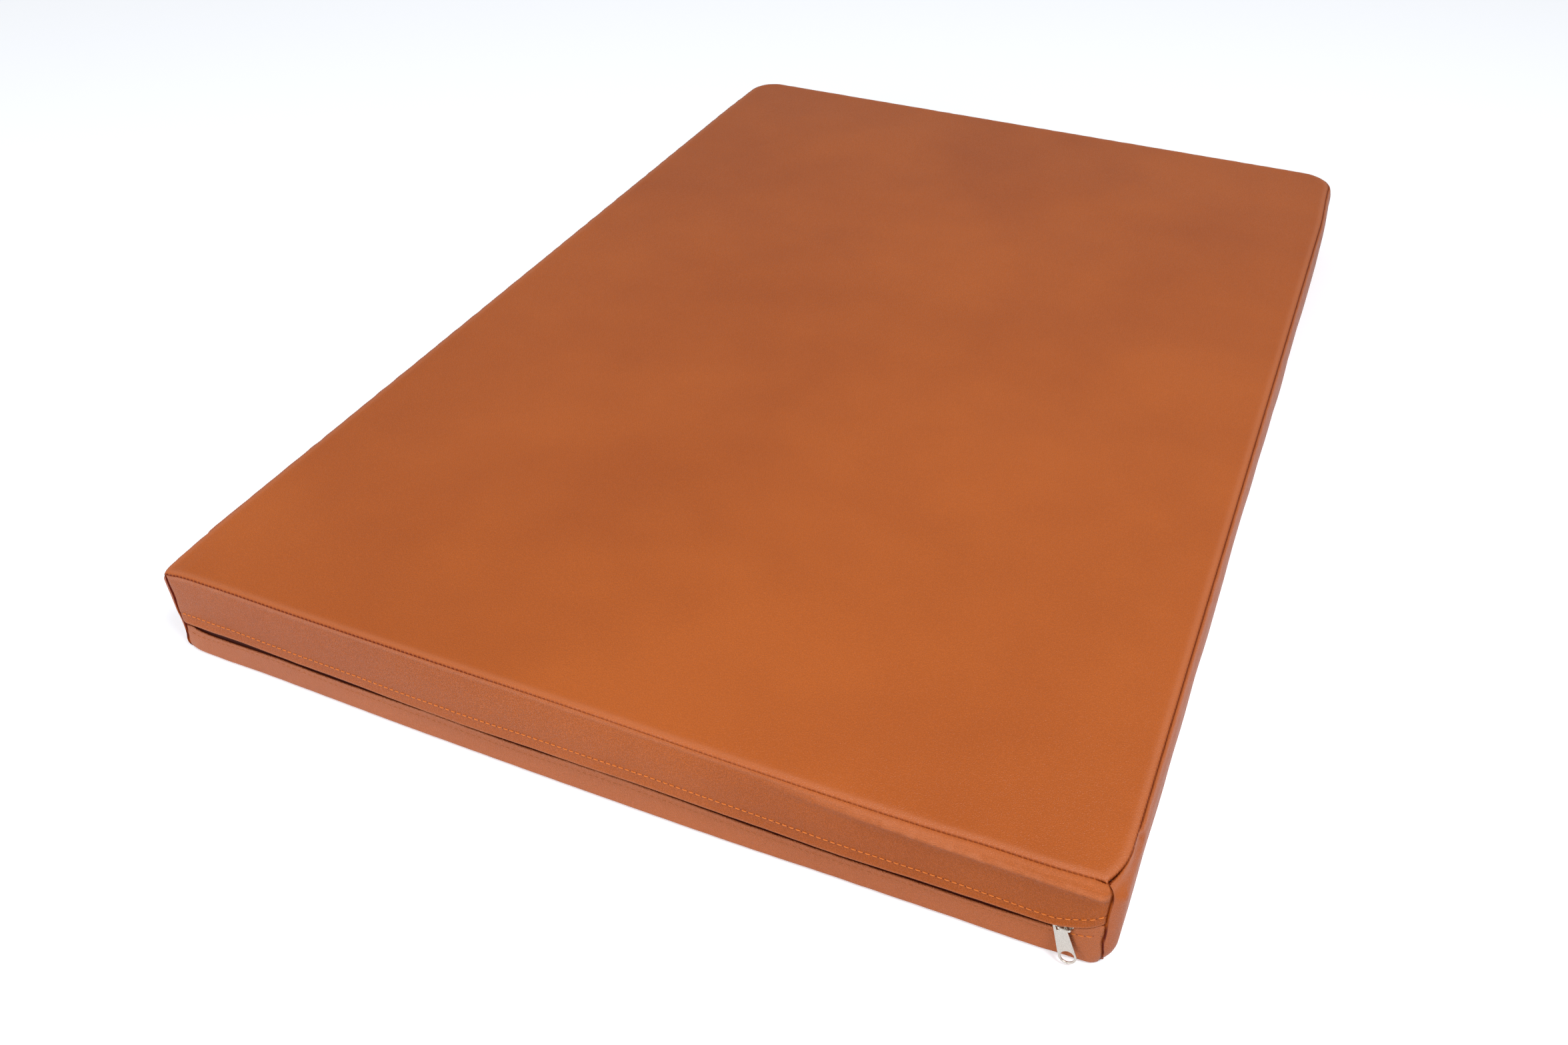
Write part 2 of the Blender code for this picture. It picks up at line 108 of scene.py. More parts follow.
def placed(name, data, right, up, back, place):
    # an object whose own axes point right, up and back: they and its place are the columns of its grid
    grid = np.eye(4)
    grid[:3] = np.stack([right, up, back, place], 1)
    made = addObject(name, data)
    made.matrix_world = Matrix(grid.tolist())
    return made


def gridFaces(rows, columns, closedAcross=False):
    # quads between neighbouring points of a grid whose point numbers are row * columns + column
    index = np.arange(rows * columns).reshape(rows, columns)
    if closedAcross:
        index = np.concatenate([index, index[:, :1]], 1)
    return np.stack([index[:-1, :-1], index[:-1, 1:], index[1:, 1:], index[1:, :-1]], -1).reshape(-1, 4)


def surface(name, x, d, z, closedAcross=False, flip=False, maps=None, marks=None):
    # one mesh over a rows x columns grid of places in mm; maps and marks are per point
    points = np.stack([x, d + zipSide, z], -1).reshape(-1, 3) / 1000
    quads = gridFaces(*x.shape, closedAcross)
    return meshFrom(name, points, quads[:, ::-1] if flip else quads, maps, marks)


def repeated(name, points, rows):
    # many small closed grids in one mesh, from points (grid, point, xdz): the faces of grid k are the
    # first one's with k * size added to their point numbers
    count, size = points.shape[:2]
    faces = gridFaces(rows, size // rows, True) + size * np.arange(count)[:, None, None]
    return mended(meshFrom(name, (points.reshape(-1, 3) + [0, zipSide, 0]) / 1000, faces.reshape(-1, 4)))


def meshFrom(name, points, faces, maps=None, marks=None):
    # one mesh object from arrays of points and equal-sided faces
    mesh = bpy.data.meshes.new(name)
    mesh.vertices.add(len(points))
    mesh.vertices.foreach_set("co", np.ascontiguousarray(points, np.float32).ravel())
    mesh.loops.add(faces.size)
    mesh.loops.foreach_set("vertex_index", faces.astype(np.int32).ravel())
    mesh.polygons.add(len(faces))
    mesh.polygons.foreach_set("loop_start", np.arange(0, faces.size, faces.shape[1], dtype=np.int32))
    mesh.update(calc_edges=True)
    mesh.polygons.foreach_set("use_smooth", np.ones(len(faces), bool))
    for label, uv in (maps or {}).items():
        layer = mesh.uv_layers.new(name=label)
        layer.data.foreach_set("uv", uv.reshape(-1, 2)[faces.ravel()].astype(np.float32).ravel())
    for label, value in (marks or {}).items():
        mark = mesh.attributes.new(label, "FLOAT", "POINT")
        mark.data.foreach_set("value", value.astype(np.float32).ravel())
    mesh.validate()
    return addObject(name, mesh)


def mended(piece):
    # closes poles: points in the same place become one
    shape = bmesh.new()
    shape.from_mesh(piece.data)
    bmesh.ops.remove_doubles(shape, verts=shape.verts, dist=1e-6)
    bmesh.ops.recalc_face_normals(shape, faces=shape.faces)
    shape.to_mesh(piece.data)
    shape.free()
    return piece


def thicken(piece, millimetres):
    # the sheet's own thickness, inwards from its outer face
    wall = piece.modifiers.new("sheet", "SOLIDIFY")
    wall.thickness = millimetres / 1000
    wall.offset = -1
    return piece


def fill(made, **links):
    # inputs by name, or by number as i0, i1 and so on: a socket or a node's first output is joined to it,
    # anything else is set, and a text is a hex colour
    for label, value in links.items():
        wanted = label.replace("_", " ")
        socket = made.inputs[int(wanted[1:]) if wanted[0] == "i" and wanted[1:].isdigit() else wanted]
        if isinstance(value, bpy.types.Node):
            value = value.outputs[0]
        if isinstance(value, bpy.types.NodeSocket):
            made.id_data.links.new(value, socket)
        else:
            socket.default_value = colourOf(value) if isinstance(value, str) else value
    return made


def node(tree, kind, settings=None, **links):
    # one node: settings are its properties, or a colour ramp's two stops as (place, hex colour or grey)
    made = tree.nodes.new("ShaderNode" + kind)
    for label, value in (settings or {}).items():
        if label == "stops":
            for element, (place, colour) in zip(made.color_ramp.elements, value):
                element.position = place
                element.color = colourOf(colour) if isinstance(colour, str) else [colour] * 3 + [1]
        else:
            setattr(made, label, value)
    return fill(made, **links)


def startMaterial(name):
    # a new material, its Principled shader and a short way to add a node to it
    made = bpy.data.materials.new(name)
    made.use_nodes = True
    return made, made.node_tree.nodes["Principled BSDF"], partial(node, made.node_tree)


def wear(piece, material, body, slot, *nodes):
    # material, body that it rides on, finish slot (not used) and the CAD nodes that the piece stands for
    piece.data.materials.clear()
    piece.data.materials.append(material)
    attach(piece, body)
    if nodes:
        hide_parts(*nodes)
    return piece


# ---- materials

leather = {
    # the pale pink colour is a painted highlight for rolls and folds, the dark red one is for seams and for painted
    # shade in folded-back layers, and the glow colour is painted light bounced into them
    "tan": "bf601e", "deep": "b35718", "seam": "561607", "paintedGlow": "2e0802", "worn": "cc7c54", "hole": "7c2c0c",
    "pebble": 0.9, "needle": 3.3,  # mm across one grain pebble, mm from one needle hole to the next
    "mottle": 0.78,  # how dark the valleys between the pebbles are, 1 being as light as their tops
    "grainHeight": 0.0002, "creaseHeight": 0.0004,  # metres
    "roughness": (0.28, 0.42),  # on the pebbles, between them
    "gloss": (0.42, 0.42),  # at the left, at the right
}


def makeLeatherette(name, values, stitched=False):
    # tan coated fabric: soft pebbles about a millimetre across, faint drifts of tone, dark in the seams, with
    # painted shade in folded-back layers, painted highlights on rolls and folds and a painted red glow in seams and
    # folds
    made, shader, add = startMaterial(name)
    place = add("TexCoord").outputs["Object"]
    # tone drifts some 140 mm across, creases 30 mm, flecks 1.6 mm and a fine tooth of 0.4 mm
    drift, crease, fleck, fine = (
        add("TexNoise", Vector=place, Scale=scale, Detail=detail, Roughness=even).outputs["Fac"]
        for scale, detail, even in ((7.0, 3.0, 0.5), (34.0, 4.0, 0.55), (620.0, 2.0, 0.5), (2600.0, 1.0, 0.5)))
    warp = add("TexNoise", Vector=place, Scale=420.0, Detail=1.0).outputs["Color"]
    bent = add("VectorMath", {"operation": "MULTIPLY_ADD"}, i0=warp, i1=(0.0009, 0.0009, 0.0009), i2=place)
    pebble = add("TexVoronoi", {"feature": "SMOOTH_F1"}, Vector=bent,
                 Scale=1000 / values["pebble"], Smoothness=0.35, Randomness=0.9)
    height = add("ValToRGB", {"stops": [(0.10, 1.0), (0.62, 0.0)]}, Fac=pebble)
    bump = add("Bump", Strength=0.8, Distance=values["creaseHeight"], Height=crease)
    bump = add("Bump", Strength=0.9, Distance=values["grainHeight"], Height=height, Normal=bump)
    bump = add("Bump", Strength=0.35, Distance=0.00003, Height=fine, Normal=bump)
    tone = add("ValToRGB", {"stops": [(0.32, values["deep"]), (0.68, values["tan"])]}, Fac=drift)
    shades = (0.4, fleck, [(0.3, 0.92), (0.7, 1.0)]), (0.5, height, [(0.0, values["mottle"]), (0.5, 1.0)])
    for share, factor, stops in shades:
        tint = add("ValToRGB", {"stops": stops}, Fac=factor)
        tone = add("Mix", {"data_type": "RGBA", "blend_type": "MULTIPLY"}, i0=share, i6=tone, i7=tint).outputs[2]
    # the seam's dark line is lighter between two needle holes: x + y folded at half their spacing
    worn, mark = (add("Attribute", {"attribute_name": label}).outputs["Fac"] for label in ("worn", "seam"))
    axes = add("SeparateXYZ", Vector=place)
    run = add("Math", {"operation": "ADD"}, i0=axes, i1=axes.outputs[1])
    pull = add("Math", {"operation": "PINGPONG"}, i0=run, i1=values["needle"] / 2000)
    gap = add("MapRange", Value=pull, i1=0.0002, i2=0.0006, i3=0.25, i4=1.0)
    seam = add("Math", {"operation": "MULTIPLY", "use_clamp": True}, i0=mark, i1=gap)
    # the pale layer is a painted highlight, the dark one marks seams and painted shade in the folded layers
    layers = [(worn, "worn"), (seam, "seam")]
    if stitched:  # needle holes: dark dents where the row's own u passes whole numbers
        split = add("SeparateXYZ", Vector=add("UVMap", {"uv_map": "row"}))
        part = add("Math", {"operation": "PINGPONG"}, i0=split, i1=0.5)
        off = add("Math", {"operation": "MULTIPLY"}, i0=part, i1=stitchPitch)
        far = add("CombineXYZ", X=off, Y=split.outputs[1])
        away = add("VectorMath", {"operation": "LENGTH"}, i0=far).outputs["Value"]
        hole = add("ValToRGB", {"stops": [(0.2, 1.0), (0.55, 0.0)]}, Fac=away)
        bump = add("Bump", {"invert": True}, Strength=0.8, Distance=0.0004, Height=hole, Normal=bump)
        layers.append((hole, "hole"))
    for factor, shade in layers:
        tone = add("Mix", {"data_type": "RGBA"}, i0=factor, i6=tone, i7=values[shade]).outputs[2]
    (low, high), (left, right) = values["roughness"], values["gloss"]
    rough = add("MapRange", Value=height, i3=high, i4=low)
    # reflections go from the left value at x = -0.2 m to the right one at 0.34 m, and are all but gone in the seams
    gloss = add("MapRange", Value=axes, i1=-0.2, i2=0.34, i3=left, i4=right)
    clean = add("MapRange", Value=mark, i3=1.0, i4=0.07)
    gloss = add("Math", {"operation": "MULTIPLY"}, i0=gloss, i1=clean)
    # painted light: a faint red glow keeps seams and folds dark red and not black, standing in for warm light
    # bounced into them
    paintedGlow = add("ValToRGB", {"stops": [(0.0, 0.0), (1.0, values["paintedGlow"])]}, Fac=seam)
    fill(shader, Base_Color=tone, Roughness=rough, Normal=bump, Specular_IOR_Level=gloss, IOR=1.5,
         Emission_Color=paintedGlow, Emission_Strength=1.0)
    return made


def makeThread(name, colour, dark):
    # twisted sewing thread: slanted plies 0.35 mm apart, matt with a little shine
    made, shader, add = startMaterial(name)
    place = add("TexCoord").outputs["Object"]
    turned = add("Mapping", Vector=place, Rotation=(0.0, 0.7, 0.0))
    ply = add("TexWave", {"bands_direction": "X"}, Vector=turned, Scale=900.0, Distortion=0.6).outputs["Fac"]
    tone = add("ValToRGB", {"stops": [(0.1, dark), (0.7, colour)]}, Fac=ply)
    bump = add("Bump", Strength=0.6, Distance=0.0001, Height=ply)
    fill(shader, Base_Color=tone, Normal=bump, Roughness=0.6)
    return made


def makeTape(name, colour, dark):
    # woven zip tape: crossed ribs a millimetre apart, coarser than real ones so that they show
    made, shader, add = startMaterial(name)
    place = add("TexCoord").outputs["Object"]
    warp, weft = (add("TexWave", {"bands_direction": way}, Vector=place, Scale=scale).outputs["Fac"]
                  for way, scale in (("X", 320.0), ("Z", 300.0)))
    weave = add("Math", {"operation": "MULTIPLY"}, i0=warp, i1=weft)
    tone = add("ValToRGB", {"stops": [(0.0, dark), (0.8, colour)]}, Fac=weave)
    bump = add("Bump", Strength=0.7, Distance=0.00015, Height=weave)
    # the glow stands for the warm light that the tan cover throws into the slit
    fill(shader, Base_Color=tone, Normal=bump, Roughness=0.85, Emission_Color=colour, Emission_Strength=0.3)
    return made


def makeTeethNylon(name, colour, dark):
    # dark brown nylon monofilament, slightly waxy, with the same warm light on it as the tape
    made, shader, add = startMaterial(name)
    place = add("TexCoord").outputs["Object"]
    drift = add("TexNoise", Vector=place, Scale=900.0, Detail=2.0).outputs["Fac"]
    tone = add("ValToRGB", {"stops": [(0.3, dark), (0.7, colour)]}, Fac=drift)
    rough = add("MapRange", Value=drift, i3=0.32, i4=0.46)
    fill(shader, Base_Color=tone, Roughness=rough, IOR=1.53, Emission_Color=tone, Emission_Strength=0.35)
    return made


def makeNickel(name, colour, dark):
    # bright nickel plate: fine brushing, cloudy patches and tiny scuffs
    made, shader, add = startMaterial(name)
    place = add("TexCoord").outputs["Object"]
    cloud = add("TexNoise", Vector=place, Scale=1500.0, Detail=2.0).outputs["Fac"]
    longer = add("Mapping", Vector=place, Scale=(4200.0, 4200.0, 260.0))
    brush = add("TexNoise", Vector=longer, Scale=1.0, Detail=2.0).outputs["Fac"]
    tone = add("ValToRGB", {"stops": [(0.25, dark), (0.65, colour)]}, Fac=cloud)
    rough = add("MapRange", Value=cloud, i3=0.38, i4=0.24)
    bump = add("Bump", Strength=0.25, Distance=0.00002, Height=brush)
    fill(shader, Base_Color=tone, Roughness=rough, Normal=bump, Metallic=1.0)
    return made


def makeFoam(name, colour, dark):
    # open-cell foam: fine dark pores in a cream block
    made, shader, add = startMaterial(name)
    place = add("TexCoord").outputs["Object"]
    pores = add("TexVoronoi", Vector=place, Scale=700.0)
    tone = add("ValToRGB", {"stops": [(0.1, dark), (0.45, colour)]}, Fac=pores)
    bump = add("Bump", Strength=0.8, Distance=0.0004, Height=pores)
    fill(shader, Base_Color=tone, Normal=bump, Roughness=0.95)
    return made


tanLeather = makeLeatherette("tan leatherette", leather)
# the strips of the zip side: deeper grain, and reflections that fade to the right, as the photograph has them
sewnLeather = makeLeatherette("tan leatherette with stitch holes",
                              {**leather, "mottle": 0.55, "grainHeight": 0.00032, "gloss": (0.44, 0.16)}, True)
underLeather = makeLeatherette("tan leatherette underside", {**leather, "tan": "b05c22", "deep": "9c4f1a"})
orangeThread = makeThread("orange sewing thread", "f58f38", "c8621c")
tanThread = makeThread("tan sewing thread", "cf7f4a", "a65a2c")
zipTape = makeTape("woven zip tape", "4e1c12", "2a0d08")
zipNylon = makeTeethNylon("brown nylon teeth", "54201a", "34120c")
nickel = makeNickel("bright nickel", "e9e2d6", "cfc8bb")
creamFoam = makeFoam("cream foam", "e8e0c4", "a59a78")
print("materials made")


# ---- the cover's outline and corner seams

cover = {
    "sheet": 0.9, "bandSheet": 0.85, "fold": 0.95,  # thickness round the mat and over the zip, radius of a fold
    "side": 345.4, "leftSide": 344.4, "swell": 4.8, "top": 80.0,
    "backRight": 30.0, "backLeft": 28.0,
    # top seam along the zip side: x against depth and height
    "seamDepth": [(-346, .5), (-330, .3), (-250, .2), (0, .8), (190, .9), (235, 1.3), (267, 2.0), (300, 2.1),
        (312, 2.3), (326, 3.0), (334, 3.4), (338, 2.8), (346, 2.6)],
    "seamHeight": [(-346, 75.3), (-338, 76.0), (-329, 77.8), (-306, 78.6), (-277, 78.6), (-241, 78.0),
        (-120, 77.6), (0, 77.6), (100, 76.4), (190, 76.4), (235, 76.9), (275, 77.8), (300, 78.1),
        (338, 78.6), (346, 78.6)],
    # corner seams: height against x and depth
    "rightCorner": [(0, 342.8, 9.5), (1.2, 343, 8.4), (4, 343.4, 5.8), (9, 343.7, 3.0), (15, 343.7, 1.5),
        (20, 342.9, .9), (27, 342.1, .8), (32, 342.5, .8), (41, 342.3, .6), (51, 341.9, .5),
        (60, 342, .5), (70, 342.2, .8), (75, 341.6, 1.2), (77, 340.2, 1.7), (78.8, 338, 2.6),
        (81, 337, 3)],
    "leftCorner": [(0, -342.6, 2.8), (2, -346.4, 1.9), (4, -347.9, 1.3), (8, -348.3, 1), (14, -346.6, .9),
        (20, -345, .9), (26, -343.5, .8), (31, -343.4, .8), (38, -344.2, .6), (46, -343.6, .6),
        (54, -342.4, .5), (63, -342.4, .5), (74, -342.2, .6), (76, -342, .8), (81, -341.8, 1)],
}


def cornerAt(z, side):
    # x and depth of a front corner seam at height z, on the table's smooth line
    table = np.array(cover["rightCorner"] if side > 0 else cover["leftCorner"])
    return through(z, table[:, :2]), through(z, table[:, [0, 2]])


def roundBack(x, d, radius):
    # takes an edge in round the back corner, a quarter circle: x - r + sqrt(r^2 - back^2)
    back = np.clip(radius - (depthBack - d), 0, radius)
    return x - radius + np.sqrt(radius * radius - back ** 2)


def rightEdge(d):
    # x of the top seam on the right: side - front * (1 - d/30)^2 - back * ease(d), then round the back corner
    x = cover["side"] - 8 * np.clip(1 - (d - 2) / 30, 0, 1) ** 2 - 3.2 * ease((d - 865) / 95)
    return roundBack(x, d, cover["backRight"])


def leftEdge(d):
    # the same on the left, as a distance from the middle
    x = cover["leftSide"] - 2.2 * np.clip(1 - d / 9, 0, 1) ** 2 - 1.5 * ease((d - 890) / 80)
    return roundBack(x, d, cover["backLeft"])


def crown(q, run):
    # rise towards the middle: 1 - (1 - q/run)^2
    return 1 - (1 - np.clip(q / run, 0, 1)) ** 2


def rollIn(q, radius):
    # quarter round down to the seam: sqrt(1 - (1 - q/radius)^2)
    return np.sqrt(np.clip(1 - (1 - np.clip(q / radius, 0, 1)) ** 2, 0, 1))


# ---- top sheet

top = {
    "across": 690.0, "seam": 77.7, "roll": 3.6, "rollDrop": 1.5, "crownRun": 150.0,
    "pucker": 0.16, "puckerReach": 16.0, "wave": 0.35,
    "tuckIn": (0, 0.5, 5.0), "tuckDown": (0, 1.4, 3.2),  # seam allowance: the seam, then two rings behind the strips
}


def makeTopSheet():
    # z = seam + rollDrop * round(x) * round(d) + crown(x) * crown(d), with puckers that die out from the seam
    shares, levels = [], []  # places from 0 to 1 each way, and which ring a place belongs to
    for total in (top["across"], depthBack):
        run = spaced(total, 0.35, 1.28, 6.5)
        levels.append(np.concatenate([[2, 1], np.zeros(run.size, int), [1, 2]]))
        shares.append(np.concatenate([[0, 0], run, [total, total]]) / total)
    (s, t), (levelX, levelD) = np.meshgrid(*shares), np.meshgrid(*levels)
    d = t * depthBack
    left, right = leftEdge(d), rightEdge(d)
    x = -left + s * (left + right)
    lean = np.exp(-d / 30)
    d = d + through(x, cover["seamDepth"]) * np.clip(1 - d / 60, 0, 1)
    # distances to the nearest seam, across and along; the rings share a place and are told apart by 1e-6
    down = t[:, 0] * depthBack + np.arange(len(t)) * 1e-6
    slopeL, slopeR = (np.gradient(edge[:, 0], down)[:, None] for edge in (left, right))
    qx = np.minimum((x + left) / np.sqrt(1 + slopeL ** 2), (right - x) / np.sqrt(1 + slopeR ** 2))
    qd = np.minimum(t, 1 - t) * depthBack
    q = np.minimum(qx, qd)
    seamZ = top["seam"] + (through(x, cover["seamHeight"]) - top["seam"]) * lean
    roundOff = rollIn(qx, top["roll"]) * rollIn(qd, top["roll"])
    rise = crown(qx, top["crownRun"]) * crown(qd, top["crownRun"])
    edge = seamZ + top["rollDrop"] * roundOff
    z = edge + (cover["top"] - 0.25 - edge) * rise
    near = np.exp(-q / top["puckerReach"])
    z = z + top["pucker"] * near * roundOff * ripple(x, d, 9, 30, 3) + top["wave"] * rise * ripple(x, d, 130, 420, 8)
    z = np.minimum(z, cover["top"] - 0.02)
    # the two rings turn down and in behind the strips
    tuckIn, tuckDown = np.array(top["tuckIn"]), np.array(top["tuckDown"])
    inX = (tuckIn[levelX] + 0.35 * tuckIn[levelD] * (levelX == 0)) * ((s <= 0) * 1.0 - (s >= 1))
    inD = (tuckIn[levelD] + 0.35 * tuckIn[levelX] * (levelD == 0)) * ((t <= 0) * 1.0 - (t >= 1))
    level = np.maximum(levelX, levelD)
    x, d, z = x + inX, d + inD, z - tuckDown[level]
    # the seam's dark line is half as strong at the right of the zip side
    strong = 1 - np.clip(1 - d / 40, 0, 1) * 0.5 * ease((x + 150) / 200)
    seam = np.maximum(np.clip(1.2 - q / (0.55 + 0.3 * strong), 0, 1) * strong, level > 0)
    # painted highlight: a pale band along the roll just inside the seam, where light catches it
    worn = 0.35 * np.exp(-((q - 3.0) / 2.2) ** 2)
    return thicken(surface("topSheet", x, d, z, marks={"seam": seam, "worn": worn}), cover["sheet"])


topSheet = wear(makeTopSheet(), tanLeather, "mat", "top_panel", "top_panel")
print("top sheet made")


# ---- side strip, from one front corner seam round the back to the other

footLine, sideRows = {}, {}  # the strips' lower edges and the side strip's rows, for the bottom and the foam
side = {
    "low": 1.0, "high": 77.6, "lowRound": 2.4, "pucker": 0.22, "wave": 0.35, "lip": 1.5, "valley": 0.9,
    "allowance": 6.0, "tuck": 1.6, "reach": 46.0,  # reach: where the front corners end, from the zip side
    "tight": {1: 7.5, -1: 5.0}, "deep": {1: 5.6, -1: 1.2},  # front corner: radius, and how far in its foot goes
}


def sideSwell(z):
    # swell between the two seams: 1 - |2s - 1|^power, with s the share of the height; fuller just under the top seam
    s = np.clip((z - side["low"]) / (77.5 - side["low"]), 0, 1)
    return 1 - np.abs(2 * s - 1) ** (3.4 + 5.2 * ease((s - 0.45) / 0.35))


def sidePlan(z, hand):
    # plan of one front corner and what follows it up to d = reach, for heights z (rows):
    # low down it leaves the corner seam in a quarter ellipse, at the top it keeps to the seam's own line
    share = np.linspace(0, 1, 46)[None, :]
    cx, cd = cornerAt(z, hand)
    cx, cd = np.abs(cx)[:, None], cd[:, None]
    edge, out = (rightEdge, cover["side"]) if hand > 0 else (leftEdge, cover["leftSide"])
    tight, reach = side["tight"][hand], side["reach"]
    low = side["deep"][hand] * np.clip(1 - z / 24.0, 0, 1)[:, None] ** 2.2
    wide = out + cover["swell"] * (0.75 + 0.25 * ease(share * 2)) * sideSwell(z)[:, None] - low
    if hand < 0:  # the left foot's corner juts out a little: the strip leaves it outwards and eases back
        wide = wide + np.maximum(cx + 0.4 - wide, 0) * (1 - ease(share))
    turn = np.clip(share / 0.5, 0, 1) * np.pi / 2
    arcX = cx + (wide - cx) * np.sin(turn)
    arcD = cd + (tight - cd) * (1 - np.cos(turn)) + np.clip(share - 0.5, 0, 1) * 2 * (reach - tight)
    seamD = cd + (reach - cd) * share ** 1.6
    seamX = edge(seamD) + (cx - edge(cd)) * (1 - share) ** 2
    atTop = ease((z[:, None] - 68.0) / 9.5)
    return arcX + (seamX - arcX) * atTop, arcD + (seamD - arcD) * atTop


def makeSideStrip():
    # rows run down from the top seam to the bottom seam, columns round the mat; the plan is the top seam's
    # line + swell(z) - low(z), then puckers and waves push each point along its column's normal
    share = np.linspace(0, 1, 34)
    bunch = (1 - np.cos(np.pi * share)) / 2 * 0.7 + share * 0.3
    z = side["high"] - (side["high"] - side["low"]) * bunch
    shift = ease((z - 55) / 22)
    leftX, leftD = sidePlan(z - 1.2 * shift, -1)
    zz = z[:, None]
    swell = cover["swell"] * sideSwell(zz)
    low = side["lowRound"] * np.clip(1 - zz / 24, 0, 1) ** 2.2
    r, r2, reach = cover["backRight"], cover["backLeft"], side["reach"]
    endR, endL = rightEdge(np.array([depthBack - r]))[0] - r, leftEdge(np.array([depthBack - r2]))[0] - r2
    rightD, leftBackD = np.linspace(reach, depthBack - r, 290)[1:], np.linspace(depthBack - r2, reach, 290)[1:-1]
    turn = np.linspace(0, np.pi / 2, 40)[1:]
    runs = [
        sidePlan(z + 1.0 * shift, 1),
        (rightEdge(rightD) + swell - low * (1 + 1.3 * np.exp(-(rightD - reach) / 60)), rightD),
        (endR + (r + swell - low) * np.cos(turn), depthBack - r + (r + swell - low) * np.sin(turn)),
        (np.linspace(endR, -endL, 230)[1:], depthBack + swell - low),
        (-endL - (r2 + swell - low) * np.sin(turn), depthBack - r2 + (r2 + swell - low) * np.cos(turn)),
        (-(leftEdge(leftBackD) + swell - low), leftBackD),
        (-leftX[:, ::-1], leftD[:, ::-1]),
    ]
    x, d = (np.concatenate(parts, 1) for parts in zip(*(np.broadcast_arrays(*run) for run in runs)))
    z = np.broadcast_to(zz, x.shape).copy()
    run = np.concatenate([[0], np.cumsum(np.hypot(np.diff(x[16]), np.diff(d[16])))])[None, :]
    q = np.minimum(side["high"] - z, z - side["low"])
    ends = np.minimum(run, run[:, -1:] - run)  # distance to the nearer corner seam
    frontTop = np.exp(-np.maximum(ends - 10, 0) / 18)
    topZ = np.where(np.arange(x.shape[1]) < x.shape[1] / 2, 78.6, 76.4)[None, :]
    z = z + (topZ - side["high"]) * frontTop * ease((z - 55) / 22)
    under = side["high"] - zz
    lip, valley = side["lip"] * np.exp(-((under - 2.2) / 1.5) ** 2), side["valley"] * np.exp(-(under / 0.5) ** 2)
    z = z + (lip - valley) * ease(ends / 10)
    gx, gd = np.gradient(x, axis=1), np.gradient(d, axis=1)
    norm = np.hypot(gx, gd) + 1e-9
    push = (side["pucker"] * np.exp(-q / 9) * ripple(run, z * 1.6, 8, 26, 21) * ease(q / 2)
            + side["wave"] * ripple(run, z * 0.6, 60, 260, 22) * ease(q / 20)) * ease(ends / 12)
    x, d = x + push * gd / norm, d - push * gx / norm
    # last rows and columns turn in behind the seams
    x[[0, -1]] -= side["tuck"] * gd[[0, -1]] / norm[[0, -1]]
    d[[0, -1]] += side["tuck"] * gx[[0, -1]] / norm[[0, -1]]
    z[0] -= 1.2
    d[:, [0, -1]] += 1.3
    x[:, 0] -= 1.1
    x[:, -1] += 1.1
    half = np.argmax(d[-1])
    footLine["right"] = d[-1, :half + 1], x[-1, :half + 1]
    footLine["left"] = d[-1, :half:-1], x[-1, :half:-1]
    sideRows["x"], sideRows["d"], sideRows["z"] = x, d, z
    seam = np.maximum(np.clip(1 - q / 0.9, 0, 1), 1.8 * np.clip(1 - ends / 0.8, 0, 1))
    seam[[0, -1]], seam[:, [0, -1]] = 1, 1.8
    # seam allowance behind the two front corner seams
    x = np.concatenate([x[:, :1] - side["allowance"], x, x[:, -1:] + side["allowance"]], 1)
    d = np.concatenate([d[:, :1] + 2.0, d, d[:, -1:] + 2.0], 1)
    z, seam = (np.concatenate([v[:, :1], v, v[:, -1:]], 1) for v in (z, seam))
    # painted highlight: a pale band along the roll just under the top seam
    worn = 0.3 * np.exp(-((side["high"] - z - 1.6) / 2.0) ** 2)
    return thicken(surface("sideStrip", x, d, z, flip=True, marks={"seam": seam, "worn": worn}), cover["sheet"])


sideStrip = wear(makeSideStrip(), tanLeather, "mat", "side_band", "side_band")
print("side strip made")


# ---- what both strips of the zip side share

def joinCorners(d, x, z, reachRight, reachLeft):
    # eases a face's depth into both corner seams: d + (seam - d) * near^2
    (cr, dr), (cl, dl) = cornerAt(z, 1), cornerAt(z, -1)
    nearR, nearL = np.clip(1 - (cr - x) / reachRight, 0, 1), np.clip(1 - (x - cl) / reachLeft, 0, 1)
    return d + (dr - d) * nearR ** 2 + (dl - d) * nearL ** 2


def foldedEdge(d, z, way):
    # half a circle from the face's last row to the layer behind it: d + r - r cos(turn), z + way * r sin(turn)
    turn, r = np.linspace(0, np.pi, 9)[1:, None], cover["fold"]
    return d + r - r * np.cos(turn), z + way * r * np.sin(turn)


def acrossZipSide(s, rowsD, rowsZ):
    # stacks a strip's rows and carries them from corner seam to corner seam: x = left + s * (right - left);
    # the end columns tuck in behind the seams, and the seam's dark mark fades within a millimetre
    d, z = np.concatenate(rowsD), np.concatenate(rowsZ)
    cr, cl = cornerAt(z, 1)[0], cornerAt(z, -1)[0]
    x = cl + s * (cr - cl)
    x[:, 0] += 0.4
    x[:, -1] -= 0.4
    d[:, [0, -1]] += 1.2
    return x, d, z, 1.8 * np.clip(1 - np.minimum(x - cl, cr - x) / 0.75, 0, 1)


def columnsAcross():
    # 560 shares from 0 to 1, closer together near both corner seams: (0.93 s + 0.07 s^9 + 1) / 2
    s = np.linspace(-1, 1, 560)[None, :]
    return (s * 0.93 + 0.07 * s ** 9 + 1) / 2


# ---- the strip over the zip, with its flap

